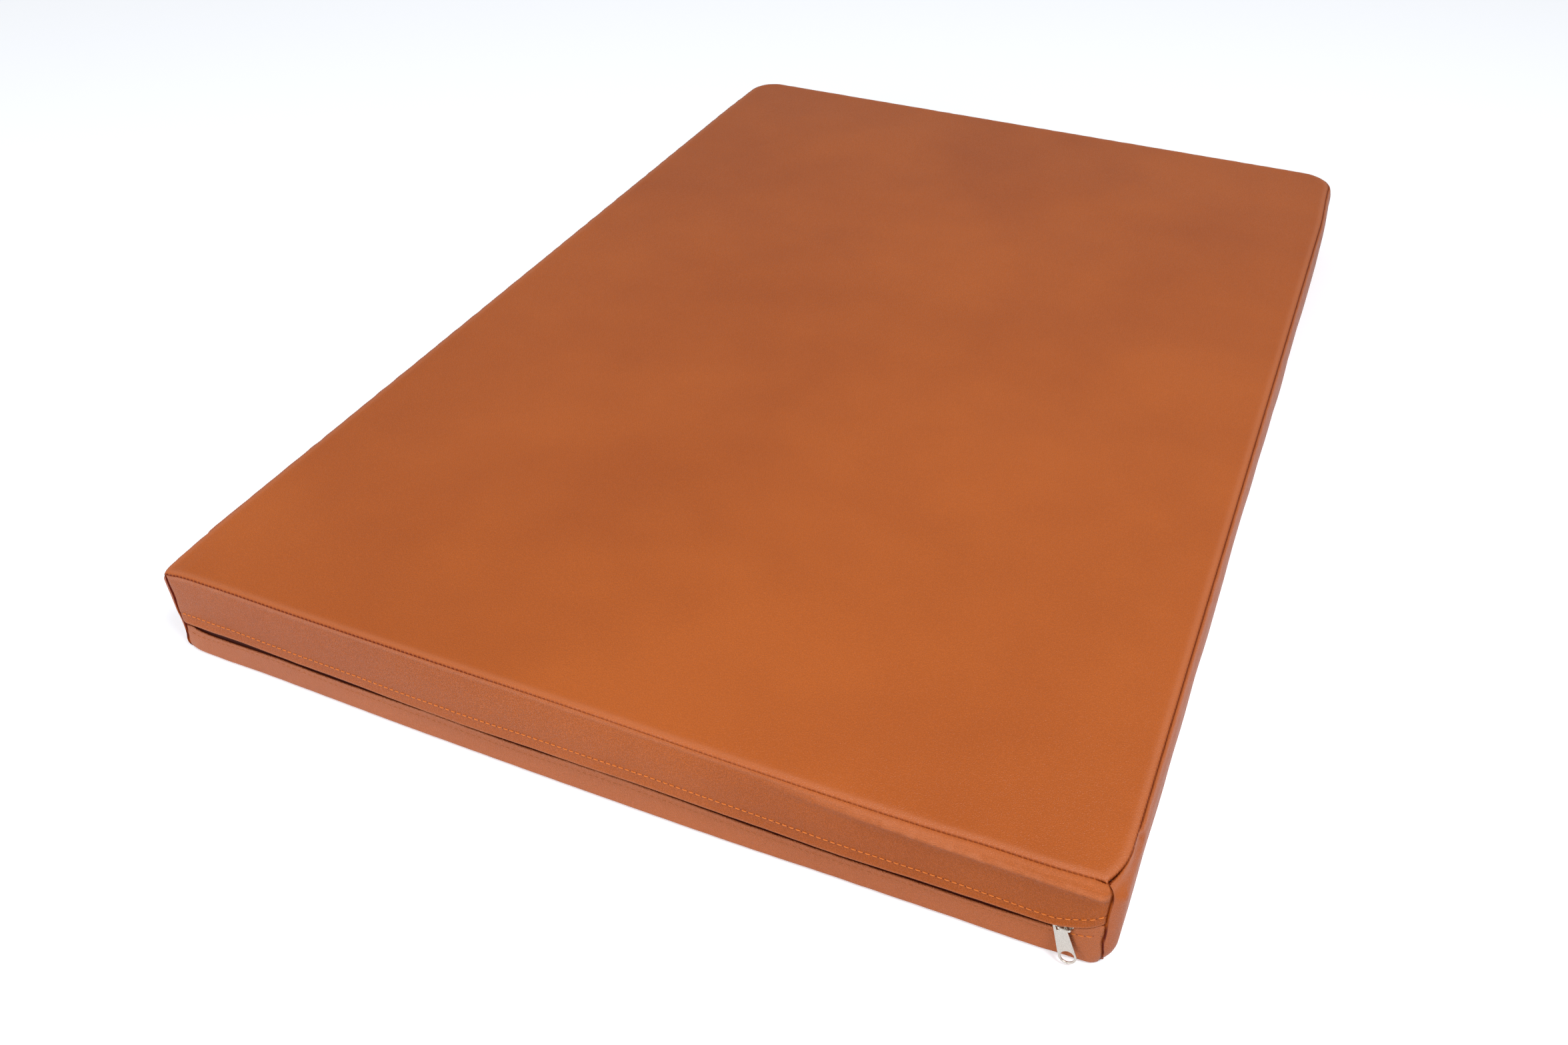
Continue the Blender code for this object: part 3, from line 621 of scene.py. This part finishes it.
upper = {
    "start": 73.0, "under": 74.5,  # where the face starts, and the height from which its bulge counts
    "bulge": 4.5, "lip": 4.0, "pucker": 0.2, "inner": 15.0,  # inner: how far the folded layer goes up again
    # flap edge: x against depth and height
    "edgeDepth": [(-346, -1.3), (-335, -2.9), (-318, -3.4), (-290, -3.5), (-258, -3.6), (-150, -4.9), (0, -5.9),
        (150, -4.9), (258, -3.3), (300, -2.4), (316, -2.2), (324, -1.9), (329, -1.3), (334, -.5),
        (339, .4), (346, 1.2)],
    "edgeHeight": [(-344.1, 30.6), (-332.1, 31.8), (-311.7, 32.2), (-291, 32.6), (-271, 32.1), (-251, 31.6),
        (-220, 31.0), (-190, 30.5), (-150, 30.1), (-120, 30), (-85, 29.8), (-50, 30.2), (-10, 31),
        (29, 31.3), (69, 31), (108, 30.1), (147, 29.6), (177, 29.5), (206, 29.9), (236, 30.4),
        (266, 30.3), (304.3, 30), (310.3, 30.4), (316.2, 31.8), (324.2, 34.4), (329.1, 36.2),
        (334, 38.7), (339, 42.9), (341.7, 45.4)],
    # stitch row above the flap's edge
    "rowUp": [(-346, 8.0), (-338, 7.6), (-255, 8.0), (0, 9.8), (240, 8.2), (304, 6.4), (316, 6.2), (328, 7.4),
        (340, 8.2), (346, 8.2)],
}


def upperFace(x, z):
    # depth of the outer face: -bulge * (1 - x^2) * sin(w)^0.85 down to the stitch row, less a lip under the top
    # seam on the right, then eased out to the flap's edge
    edgeZ, rowUp = through(x, upper["edgeHeight"]), through(x, upper["rowUp"])
    w = np.clip((upper["under"] - z) / (upper["under"] - edgeZ), 0, 1.05)
    row = 1 - rowUp / (upper["under"] - edgeZ)
    bulge = upper["bulge"] * np.clip(1 - (x / 345) ** 2, 0.02, 1)
    face = -bulge * (np.sin(np.pi / 2 * np.clip(w / row, 0, 1)) ** 0.85) * 0.94
    face = face - upper["lip"] * ease((x - 100) / 140) * np.exp(-((z - 70.5) / 4.3) ** 2)
    flare = ease((w - row) / (1 - row) * 0.5) * 2
    d = face + (through(x, upper["edgeDepth"]) - face) * np.clip(flare, 0, 1) * (w > row)
    d = joinCorners(d, x, z, 7, 7)
    groove = np.exp(-((z - edgeZ - rowUp) / 1.1) ** 2)
    sag = 0.25 * ripple(x, 0.4 * z, 70, 240, 34) * ease((78 - z) / 20)
    return d + 0.25 * groove + 0.06 * ripple(x, z, 14, 60, 33) + sag


def makeUpperStrip():
    # each column: tuck behind the seam, roll over the edge, face, folded flap edge, inner layer up again
    s, fold, startZ = columnsAcross(), cover["fold"], upper["start"]
    x0 = -343.2 + s * (342.0 + 343.2)
    seamD, seamZ = through(x0, cover["seamDepth"]), through(x0, cover["seamHeight"])
    edgeZ = through(x0, upper["edgeHeight"])
    faceTop = upperFace(x0, startZ)
    flat = 0.7 * ease((x0 - 100) / 140)  # on the right the round turns into a straight slope
    share = np.linspace(1, 0, 12)[:, None]
    turn = share * np.pi / 2
    rollD = faceTop + (seamD - faceTop) * (flat * share + (1 - flat) * (1 - np.cos(turn)))
    rollZ = startZ + (seamZ - startZ) * (flat * share + (1 - flat) * np.sin(turn))
    faceZ = startZ + (edgeZ + fold - startZ) * np.linspace(0, 1, 34)[1:, None]
    faceD = upperFace(x0, faceZ)
    foldD, foldZ = foldedEdge(faceD[-1:], edgeZ + fold, -1)
    innerZ = edgeZ + fold + (upper["inner"] - fold) * np.linspace(0, 1, 9)[1:, None]
    innerD = upperFace(x0, innerZ) + 2 * fold
    x, d, z, seam = acrossZipSide(s, [seamD + 0.7, rollD, faceD, foldD, innerD],
                                  [seamZ - 1.6, rollZ, faceZ, foldZ, innerZ])
    inside = (np.arange(len(z)) > len(rollD) + len(faceD) + 5)[:, None]
    # dark in the top seam, its last row less so towards the right
    seam[:2] = np.maximum(seam[:2], [[1.0], [0.9]])
    seam[2] = np.maximum(seam[2], 0.35 * (1 - 0.9 * ease((x[2] + 150) / 200)))
    seam = np.maximum(seam, 0.6 * inside)  # painted shade: the fabric back and the folded layer are darkened, as they lie in the slit's shadow
    under = seamZ - z
    d = d + upper["pucker"] * np.exp(-np.clip(under, 0, 99) / 9) * ripple(x, z * 1.5, 8, 26, 41) * ease(under / 3)
    # painted highlight: paler along the flap's edge, the top seam and the lip, where light catches the rolled
    # leather
    worn = 0.45 * np.exp(-((z - edgeZ - 0.6) / 0.9) ** 2) + 0.3 * np.exp(-((under - 1.8) / 1.6) ** 2)
    worn = worn + (0.55 * ease((x - 100) / 140) * np.exp(-((z - 72.0) / 2.4) ** 2)
                   * (0.8 + 0.2 * ripple(x, z, 5, 20, 43)))
    worn = np.where(inside, 0, worn) * np.clip(1 - seam, 0, 1)
    rowZ = edgeZ + through(x0, upper["rowUp"])
    uv = np.stack([x / stitchPitch, np.where(inside, 9.0, z - rowZ)], -1)  # u counts stitches, v is mm off the row
    return thicken(surface("zipStripUpper", x, d, z, maps={"row": uv}, marks={"seam": seam, "worn": worn},
                           flip=True), cover["bandSheet"])


upperStrip = wear(makeUpperStrip(), sewnLeather, "mat", "front_band_upper", "front_band_upper")
print("upper strip made")


# ---- the strip under the zip

lower = {
    "fold": [(-348.5, 25.4), (-340.1, 24.3), (-337, 23.2), (-326.3, 21.9), (-310.8, 22), (-296, 22.2),
        (-275, 22.8), (-255, 22.9), (-225, 21.9), (-195, 21.5), (-155, 21.4), (-125, 21.5), (-90, 20.5),
        (-55, 20.4), (-15, 21.5), (25, 22.3), (65, 21.8), (105, 20.7), (145, 20.6), (175, 20.7), (205, 21.5),
        (235, 22.2), (265, 22.3), (303.8, 22.8), (311.8, 23.2), (322.2, 25.4), (324.1, 29.2), (328.9, 32.2),
        (333.9, 35.9), (338.9, 41.3)],
    "foldDepth": [(-346, 1.6), (-335, 1.3), (-320, .7), (-298, .4), (-274, .3), (-252, .2), (-150, 0), (0, -0.05),
        (150, 0), (258, .4), (304, 1.5), (318, 1.9), (322, 1.9), (325, .9), (329, .8), (339, .9),
        (346, 1.4)],
    "footDepth": [(-346, 2.0), (-335, -.3), (-320, -.6), (-310, -.9), (-295, -.7), (-275, -.7), (-245, -1.2),
        (-205, -1.9), (-150, -2.9), (-100, -3.3), (0, -3.75), (85, -3.6), (125, -3.1), (165, -2.2),
        (205, -1.7), (245, -1.1), (306, -.6), (316, 0), (330, .4), (334, .7), (338, 1.3), (346, 2.4)],
    "footHeight": 3.2, "inner": 11.0,  # inner: how far the folded layer goes down again
    # stitch row under the fold
    "rowDown": [(-346, 5.0), (-337, 5.0), (-291, 2.6), (-200, 4.4), (0, 4.6), (200, 4.2), (312, 3.6), (322, 4.4),
        (325, 5.2), (327, 5.6), (335, 8.4), (346, 11)],
    "holesFrom": 318,  # the needle holes show only right of here
}


def lowerFace(x, z):
    # depth of the outer face: foot + (fold - foot) * w, with a slight pillow near both ends
    foldZ, footZ = through(x, lower["fold"]), lower["footHeight"]
    w = np.clip((z - footZ) / (foldZ - footZ), 0, 1.1)
    foot, fold = through(x, lower["footDepth"]), through(x, lower["foldDepth"])
    d = foot + (fold - foot) * w - 0.25 * np.sin(np.pi * np.clip(w, 0, 1)) * (np.abs(x) > 325)
    d = joinCorners(d, x, z, 5 + 3 * np.clip(1 - z / 14, 0, 1), 5)
    groove = np.exp(-((z - foldZ + through(x, lower["rowDown"])) / 0.9) ** 2)
    return d + 0.05 * ripple(x, z, 12, 50, 51) + 0.15 * groove


def makeLowerStrip():
    # each column: bottom seam, quarter round, face, folded top edge, inner layer down again
    s, fold = columnsAcross(), cover["fold"]
    x0 = -345.5 + s * (342.6 + 345.5)
    topZ, footZ = through(x0, lower["fold"]), lower["footHeight"]
    foot = lowerFace(x0, np.full_like(x0, footZ))
    under = 4.0 - 3.0 * np.clip(1 - (342.6 - x0) / 16, 0, 1) ** 1.5  # depth of the round at the foot
    turn = np.linspace(np.pi / 2, 0, 8)[:, None]
    roundD = foot + under * (1 - np.cos(turn))
    roundZ = footZ - (footZ - 0.35) * np.sin(turn) + 0 * s
    faceZ = footZ + (topZ - fold - footZ) * np.linspace(0, 1, 24)[1:, None]
    faceD = lowerFace(x0, faceZ)
    foldD, foldZ = foldedEdge(faceD[-1:], topZ - fold, 1)
    innerZ = topZ - fold - lower["inner"] * np.linspace(0, 1, 8)[1:, None]
    innerD = np.maximum(lowerFace(x0, innerZ), faceD[-1:]) + 2 * fold
    x, d, z, seam = acrossZipSide(s, [foot + under + 0.6, roundD, faceD, foldD, innerD],
                                  [0.9 + 0 * s, roundZ, faceZ, foldZ, innerZ])
    footLine["front"] = x[1], d[1]
    inside = (np.arange(len(z)) > len(roundD) + len(faceD) + 4)[:, None]
    # painted shade: the fabric back and the folded layer are darkened, as they lie in shadow behind the fold
    seam = np.maximum(seam, 0.6 * inside)
    # painted light: paler than the strip above, most of all along the fold, where a painted highlight runs
    worn = (0.4 + 0.15 * np.exp(-((z - topZ + 0.6) / 0.9) ** 2)) * np.clip(1 - seam, 0, 1) * ~inside
    rowZ = topZ - through(x0, lower["rowDown"])
    uv = np.stack([x / stitchPitch, np.where(inside | (x < lower["holesFrom"]), 9.0, z - rowZ)], -1)
    return thicken(surface("zipStripLower", x, d, z, maps={"row": uv}, marks={"seam": seam, "worn": worn}),
                   cover["bandSheet"])


lowerStrip = wear(makeLowerStrip(), sewnLeather, "mat", "front_band_lower", "front_band_lower")
print("lower strip made")


# ---- bottom sheet and foam block

bottom = {"across": 690, "rise": 0.9, "run": 5.0, "inset": 0.2}


def makeBottomSheet():
    # flat on the floor, rising to the seam: z = rise * (1 - run-in)^2, the outline is the strips' own lower edge
    s, t = np.meshgrid(*(spaced(total, 0.6, 1.4, 12) / total for total in (bottom["across"], depthBack)))
    d = t * (sideRows["d"][-1].max() - side["tuck"]) + side["tuck"] / 2
    right = np.interp(d, *footLine["right"]) - bottom["inset"]
    left = -np.interp(d, *footLine["left"]) - bottom["inset"]
    x = -left + s * (left + right)
    d = d + np.interp(x, *footLine["front"]) * (1 - t) ** 8
    q = np.minimum(np.minimum(s, 1 - s) * bottom["across"], np.minimum(t, 1 - t) * depthBack)
    z = 0.03 + bottom["rise"] * np.clip(1 - q / bottom["run"], 0, 1) ** 2
    z = z + 0.12 * (1 + np.clip(ripple(x, d, 60, 240, 61), -1, 1)) * ease(q / 30)
    seam = np.clip(1 - q, 0, 1)
    marks = {"seam": seam, "worn": 0 * seam}
    return thicken(surface("bottomSheet", x, d, z, flip=True, marks=marks), cover["sheet"])


foam = {
    "setIn": 2.6,  # from the cover's face
    # how far the zip presses it back: height against depth
    "press": [(0, 2.4), (10, 3), (12, 6.5), (18, 6.5), (24, 7.6), (34, 7.6), (38, 5.6), (44, 4.6), (48, 4.4),
        (60, 4.2), (70, 4.2), (78, 4.6)],
    # rings that close the top and the bottom: share of the outline, height
    "over": [(0.0, 78.4), (0.25, 78.5), (0.6, 78.5), (0.9, 77.6), (0.975, 75.6), (0.985, 74.6)],
    "below": [(0.985, 1.5), (0.6, 1.3), (0.25, 1.3), (0.0, 1.3)],
}


def makeFoamBlock():
    # closed loft: the cover's rows set in by a sheet, pressed in behind the zip, then closed over top and bottom
    x, d, z = (sideRows[k][5:-1, 1:-1][:, ::5] for k in "xdz")  # every fifth column
    middle = depthBack / 2
    away = np.hypot(x, d - middle)
    x, d = x - foam["setIn"] * x / away, d - foam["setIn"] * (d - middle) / away
    frontX = np.linspace(x[:, -1], x[:, 0], 60, axis=1)[:, 1:-1]
    press = through(z[:, :1], foam["press"])
    x, d = np.concatenate([x, frontX], 1), np.concatenate([np.maximum(d, press), press + 0 * frontX], 1)
    z = np.concatenate([z, z[:, :1] + 0 * frontX], 1)

    def closing(rings, row):
        # the outline of one row drawn in towards the middle: share * x, middle + share * (d - middle)
        share, up = np.array(rings).T[:, :, None]
        return x[row] * share, middle + (d[row] - middle) * share, up + 0 * x[row]

    lofted = zip(closing(foam["over"], 0), (x, d, z), closing(foam["below"], -1))
    x, d, z = (np.concatenate(parts) for parts in lofted)
    return mended(surface("foamBlock", x, d, z, closedAcross=True, flip=True))


bottomSheet = wear(makeBottomSheet(), underLeather, "mat", "bottom_panel", "bottom_panel")
foamBlock = wear(makeFoamBlock(), creamFoam, "mat", "foam_core", "foam_core")
print("bottom sheet and foam made")


# ---- zip: tapes and teeth

zipper = {
    "height": 29.0, "pitch": 1.25, "teethDepth": 3.82, "tapeDepth": 5.05, "slit": 0.72, "half": 2.95,
    "tooth": (0.5, 0.88, 1.1), "toothPower": 2.4, "toothLean": 0.16,  # half a tooth across, in depth and in height
    "tape": 0.5,  # thickness
    # above the flap's edge, and below the fold: where the strip's depth is read, the tape meets it, the tape ends
    "upperTape": (7, 5.5, 11.5), "lowerTape": (3, 3.5, 9.5),
}


def makeTapeStrip(name, up, face, foldTable, away):
    # rows: behind the teeth, then forward to the strip's folded layer, where it is sewn; a row at share u runs
    # straight between the five stops, so it is the sum of weight(u) * stop
    x = np.linspace(-342, 341, 240)[None, :]
    middle, depth, fold = zipper["height"], zipper["tapeDepth"], through(x, foldTable)
    seat = face(x, fold + up * away[0]) + 3.0
    stopsD = np.concatenate([depth + 0 * x] * 3 + [seat, seat + 0.1])
    stopsZ = np.concatenate([middle + up * k + 0 * x for k in (zipper["slit"], 3, 4.9)]
                            + [fold + up * k for k in away[1:]])
    shares, stops = np.linspace(0, 1, 22), [0.0, 0.3, 0.45, 0.7, 1.0]
    weights = np.stack([np.interp(shares, stops, row) for row in np.eye(len(stops))], 1)
    d, z = weights @ stopsD, weights @ stopsZ
    return thicken(surface(name, np.broadcast_to(x, d.shape), d, z, flip=up < 0), zipper["tape"])


def makeTeeth(name, up):
    # every tooth: a rounded loop of nylon, |x|^2.4 + |d|^2.4 + |z|^2.4 = 1 stretched to its size, leaning a little
    a, o = np.meshgrid(np.linspace(0, 2 * np.pi, 8, endpoint=False), np.linspace(0.0, np.pi, 7))
    px, pd, pz = (half * rounded(v, zipper["toothPower"]) for half, v in
                  zip(zipper["tooth"], (np.cos(a) * np.sin(o), np.sin(a) * np.sin(o), np.cos(o))))
    tooth = np.stack([px + zipper["toothLean"] * pd, pd, pz], -1).reshape(-1, 3)
    places = np.arange(-342.5, 341.5, zipper["pitch"]) + (0.6 if up > 0 else 0)
    middle = zipper["height"] + up * (zipper["slit"] + zipper["half"]) / 2
    places = np.stack([places, zipper["teethDepth"] + 0 * places, middle + 0 * places], -1)
    return repeated(name, tooth[None] + places[:, None], 7)


upperTape = wear(makeTapeStrip("zipTapeUpper", 1, upperFace, upper["edgeHeight"], zipper["upperTape"]),
                 zipTape, "mat", "zip_tape_upper", "zip_tape_upper")
lowerTape = wear(makeTapeStrip("zipTapeLower", -1, lowerFace, lower["fold"], zipper["lowerTape"]),
                 zipTape, "mat", "zip_tape_lower", "zip_tape_lower")
upperTeeth = wear(makeTeeth("zipTeethUpper", 1), zipNylon, "mat", "zip_coil_upper", "zip_coil_upper")
lowerTeeth = wear(makeTeeth("zipTeethLower", -1), zipNylon, "mat", "zip_coil_lower", "zip_coil_lower")
print("zip made")


# ---- thread

thread = {"length": 4.3, "radius": 0.42, "slim": 0.9}  # slim: the lower strip's thread against the flap's


def makeStitches(name, x, d, z, radius):
    # each stitch: a round thread along the row whose ends dip into their needle holes, with t from -1 to 1:
    # girth = radius * sqrt(1 - |t|^5), lift = radius * (0.55 - 2.6 t^4)
    place = np.stack([x, d, z], -1)
    ahead = np.gradient(place, axis=0)
    ahead = ahead / np.linalg.norm(ahead, axis=1, keepdims=True)
    out = np.array([0.0, -1.0, 0.1]) + 0 * ahead  # off the face, tipped up a little
    out = out - (out * ahead).sum(1, keepdims=True) * ahead
    out = out / np.linalg.norm(out, axis=1, keepdims=True)
    across = np.cross(ahead, out)
    t, a = np.meshgrid(np.linspace(-1, 1, 9), np.linspace(0, 2 * np.pi, 7, endpoint=False), indexing="ij")
    girth = radius * np.sqrt(np.clip(1 - np.abs(t) ** 5, 0, 1))
    along = t * thread["length"] / 2
    lift = girth * np.cos(a) + radius * 0.55 - radius * 2.6 * np.abs(t) ** 4
    wide = girth * 0.85 * np.sin(a)
    points = place[:, None]
    for way, size in ((ahead, along), (out, lift), (across, wide)):
        points = points + way[:, None] * size.ravel()[None, :, None]
    return repeated(name, points, len(t))


def stitchRow(name, first, last, face, edge, away, up, sunk=0.0, slim=1.0):
    # stitches first to last, half a pitch off the needle holes: z = edge + up * away, on the strip's own face
    x = (np.arange(first, last) + 0.5) * stitchPitch
    z = through(x, edge) + up * through(x, away)
    return makeStitches(name, x, face(x, z) + sunk, z, thread["radius"] * slim)


flapRow = upperFace, upper["edgeHeight"], upper["rowUp"], 1
lowerRow = lowerFace, lower["fold"], lower["rowDown"], -1
flapStitches = wear(stitchRow("flapStitches", -74, 74, *flapRow), orangeThread, "mat", "front_band_upper")
lowerStitches = wear(stitchRow("lowerStitches", -74, 69, *lowerRow, sunk=0.22, slim=thread["slim"]),
                     tanThread, "mat", "front_band_lower")
endStitches = wear(stitchRow("endStitches", 70, 73, *lowerRow, slim=thread["slim"]),
                   orangeThread, "mat", "front_band_lower")
print("stitches made")


# ---- slider bridge and pull tab

slider = {"x": 318.8, "height": 29.0, "bridgeTop": -2.05, "span": 8.8, "thick": 0.9, "width": 1.8, "foot": 2.6,
          "bend": 1.35, "sectionPower": 2.3}
tab = {
    "pivot": (314.85, -494.795, 29.0), "tilt": 10.0, "lean": 20.0, "thick": 1.2, "edge": 0.24,
    "windowLeft": -1.4, "windowRight": 3.6, "windowTop": 1.4, "windowBottom": -3.0, "windowRound": 0.5,
    "bar": 1.5, "thinBar": 1.1, "corner": 1.2, "eyeHang": 23.2, "eyeOff": 1.3, "eyeRadius": 4.2, "width": 11.2,
    "rim": 0.95, "rimHeight": 0.16, "plateInset": 0.12,
}


def makeBridge():
    # a flat wire bent over: a rounded section carried along two feet, two quarter turns and a straight top
    outer, top = slider["span"] / 2 - slider["thick"] / 2, slider["bridgeTop"] + slider["thick"] / 2
    bend, turn = slider["bend"], np.linspace(0, np.pi / 2, 9)[1:]
    footD = np.linspace(slider["foot"], top + bend, 6)
    straight = np.linspace(-outer + bend, 0, 6)[1:]
    px = np.concatenate([-outer + 0 * footD, -outer + bend * (1 - np.cos(turn)), straight])
    pd = np.concatenate([footD, top + bend - bend * np.sin(turn), np.full(5, top)])
    px, pd = np.concatenate([px, -px[-2::-1]]), np.concatenate([pd, pd[-2::-1]])
    ax, ad = np.gradient(px), np.gradient(pd)
    size = np.hypot(ax, ad)
    path = (px, pd, -ad / size, ax / size)
    px, pd, nx, nd = (np.concatenate([v[:1], v, v[-1:]])[:, None] for v in path)
    taper = np.ones_like(px)
    taper[[0, -1]] = 0.0  # both ends close on a point
    a = np.linspace(0, 2 * np.pi, 20, endpoint=False)
    w, t = (slider[size] / 2 * rounded(v, slider["sectionPower"]) for size, v in
            (("width", np.sin(a)), ("thick", np.cos(a))))
    x = slider["x"] + px + nx * t * taper
    z = slider["height"] + w * taper
    return mended(surface("sliderBridge", x, pd + nd * t * taper, z, closedAcross=True))


def arcPoints(cx, cy, radius, start, end, count):
    # circle points from start to end in degrees: centre + radius * (cos, sin)
    a = np.radians(np.linspace(start, end, count))
    return np.stack([cx + radius * np.cos(a), cy + radius * np.sin(a)], -1)


def tabOutline(inset):
    # two rounded upper corners and a half circle round the eye, all drawn in by inset
    left, right = tab["windowLeft"] - tab["bar"], tab["windowRight"] + tab["thinBar"]
    high, c = tab["windowTop"] + tab["bar"], tab["corner"]
    return np.concatenate([arcPoints(right - c, high - c, c - inset, 0, 90, 8),
                           arcPoints(left + c, high - c, c - inset, 90, 180, 8),
                           arcPoints(tab["eyeOff"], -tab["eyeHang"], tab["width"] / 2 - inset, 180, 360, 40)])


def plateMesh(outlines, thick):
    # a plate of the given thickness, filled between its outlines and rounded along every edge
    curve = bpy.data.curves.new("plate", "CURVE")
    curve.dimensions, curve.fill_mode = "2D", "BOTH"
    curve.extrude = (thick / 2 - tab["edge"]) / 1000
    curve.bevel_depth, curve.bevel_resolution, curve.offset = tab["edge"] / 1000, 3, -tab["edge"] / 1000
    for outline in outlines:
        line = curve.splines.new("POLY")
        line.points.add(len(outline) - 1)
        flat = np.column_stack([outline / 1000, np.zeros(len(outline)), np.ones(len(outline))])
        line.points.foreach_set("co", flat.ravel())
        line.use_cyclic_u = True
    drawn = addObject("plateOutline", curve)
    bpy.context.view_layer.update()
    mesh = bpy.data.meshes.new_from_object(drawn.evaluated_get(bpy.context.evaluated_depsgraph_get()))
    bpy.data.objects.remove(drawn)
    return mesh


def makeTab():
    # a stamped plate with window and eye, its rim raised a little, hung on the bridge's left foot
    r = tab["windowRound"]
    l, w, b, t = tab["windowLeft"] + r, tab["windowRight"] - r, tab["windowBottom"] + r, tab["windowTop"] - r
    window = np.concatenate([arcPoints(cx, cy, r, start, start + 90, 6) for cx, cy, start in
                             ((w, t, 0), (l, t, 90), (l, b, 180), (w, b, 270))])
    eye = arcPoints(tab["eyeOff"], -tab["eyeHang"], tab["eyeRadius"], 0, 352, 45)
    shape = bmesh.new()
    shape.from_mesh(plateMesh([tabOutline(tab["plateInset"]), window, eye], tab["thick"] - 2 * tab["rimHeight"]))
    shape.from_mesh(plateMesh([tabOutline(0.0), tabOutline(tab["rim"])], tab["thick"]))
    mesh = bpy.data.meshes.new("pullTab")
    shape.to_mesh(mesh)
    shape.free()
    mesh.transform(Matrix.Translation([v / 1000 for v in tab["pivot"]])
                   @ Matrix.Rotation(-np.radians(tab["tilt"]), 4, "X")
                   @ Matrix.Rotation(-np.radians(tab["lean"]), 4, "Y") @ Matrix.Rotation(np.pi / 2, 4, "X"))
    piece = mended(addObject("pullTab", mesh))
    piece.data.set_sharp_from_angle(angle=np.radians(50))
    return piece


sliderBridge = wear(makeBridge(), nickel, "slider", "slider_bridge", "slider_bridge")
pullTab = wear(makeTab(), nickel, "tab", "pull_tab", "pull_tab")
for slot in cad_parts["slider_body"].material_slots:
    slot.material = nickel
print("slider and tab made")


# ---- camera and light

view = {"lens": 30.4554637, "shiftX": -0.0434410, "place": (0.36816246, -0.95758534, 0.70636194),
        "azimuth": 21.93491299, "elevation": 39.63447986, "roll": 0.67023893}


def makeCamera():
    # back = (sin a cos e, -cos a cos e, sin e); right and up follow, then turn by the roll
    a, e, r = (np.radians(view[k]) for k in ("azimuth", "elevation", "roll"))
    back = np.array([np.sin(a) * np.cos(e), -np.cos(a) * np.cos(e), np.sin(e)])
    right = np.cross(-back, [0, 0, 1])
    right = right / np.linalg.norm(right)
    up = np.cross(right, -back)
    turnedRight, turnedUp = right * np.cos(r) + up * np.sin(r), up * np.cos(r) - right * np.sin(r)
    data = bpy.data.cameras.new("camera")
    data.lens, data.sensor_width, data.sensor_fit = view["lens"], 36.0, "HORIZONTAL"
    data.shift_x = view["shiftX"]
    data.clip_start, data.clip_end = 0.01, 50
    bpy.context.scene.camera = placed("camera", data, turnedRight, turnedUp, back, view["place"])


studio = {
    "floorColour": "e6ebf3", "floorHalf": 8.0, "floorLift": 0.42, "ambient": 0.4,
    "lamps": [  # name, place, aim, size, watts
        ("softbox at the front left", (-1.05, -2.15, 1.2), (0.0, -0.3, 0.0), 1.4, 25.0),
        ("softbox overhead", (1.15, -0.75, 2.05), (0.1, -0.3, 0.0), 0.8, 32.0),
    ],
}


def makeStudio():
    # a wide pale floor, an even sky and two soft boxes; a box's back = place - aim, its right = up x back;
    # floor and sky turn white for the camera's own rays, and light the mat less than that
    corners = studio["floorHalf"] * np.array([[-1, -1, 0], [1, -1, 0], [1, 1, 0], [-1, 1, 0]])
    floor = meshFrom("floor", corners, np.array([[0, 1, 2, 3]]))
    made, shader, add = startMaterial("pale studio floor")
    fill(shader, Base_Color=studio["floorColour"], Roughness=0.9)
    seen = add("LightPath").outputs["Is Camera Ray"]
    lift = add("Math", {"operation": "MULTIPLY"}, i0=seen, i1=studio["floorLift"])
    both = add("AddShader", i0=shader, i1=add("Emission", Color=(1, 1, 1, 1), Strength=lift))
    fill(made.node_tree.nodes["Material Output"], Surface=both)
    floor.data.materials.append(made)
    world = bpy.data.worlds.new("studio")
    bpy.context.scene.world = world
    world.use_nodes = True
    add = partial(node, world.node_tree)
    rays = add("LightPath").outputs
    seen = add("Math", {"operation": "MAXIMUM"}, i0=rays["Is Camera Ray"], i1=rays["Is Transmission Ray"])
    strength = add("MapRange", Value=seen, i3=studio["ambient"], i4=1.0)
    fill(world.node_tree.nodes["Background"], Color=(1, 1, 1, 1), Strength=strength)
    for name, place, aim, size, watts in studio["lamps"]:
        data = bpy.data.lights.new(name, "AREA")
        data.shape, data.size, data.energy = "SQUARE", size, watts
        back = np.array(place) - np.array(aim)
        back = back / np.linalg.norm(back)
        right = np.cross([0, 0, 1], back)
        right = right / np.linalg.norm(right)
        placed(name, data, right, np.cross(back, right), back, place)


makeCamera()
makeStudio()
bpy.context.scene.view_settings.view_transform = "Standard"
print("camera and light made")
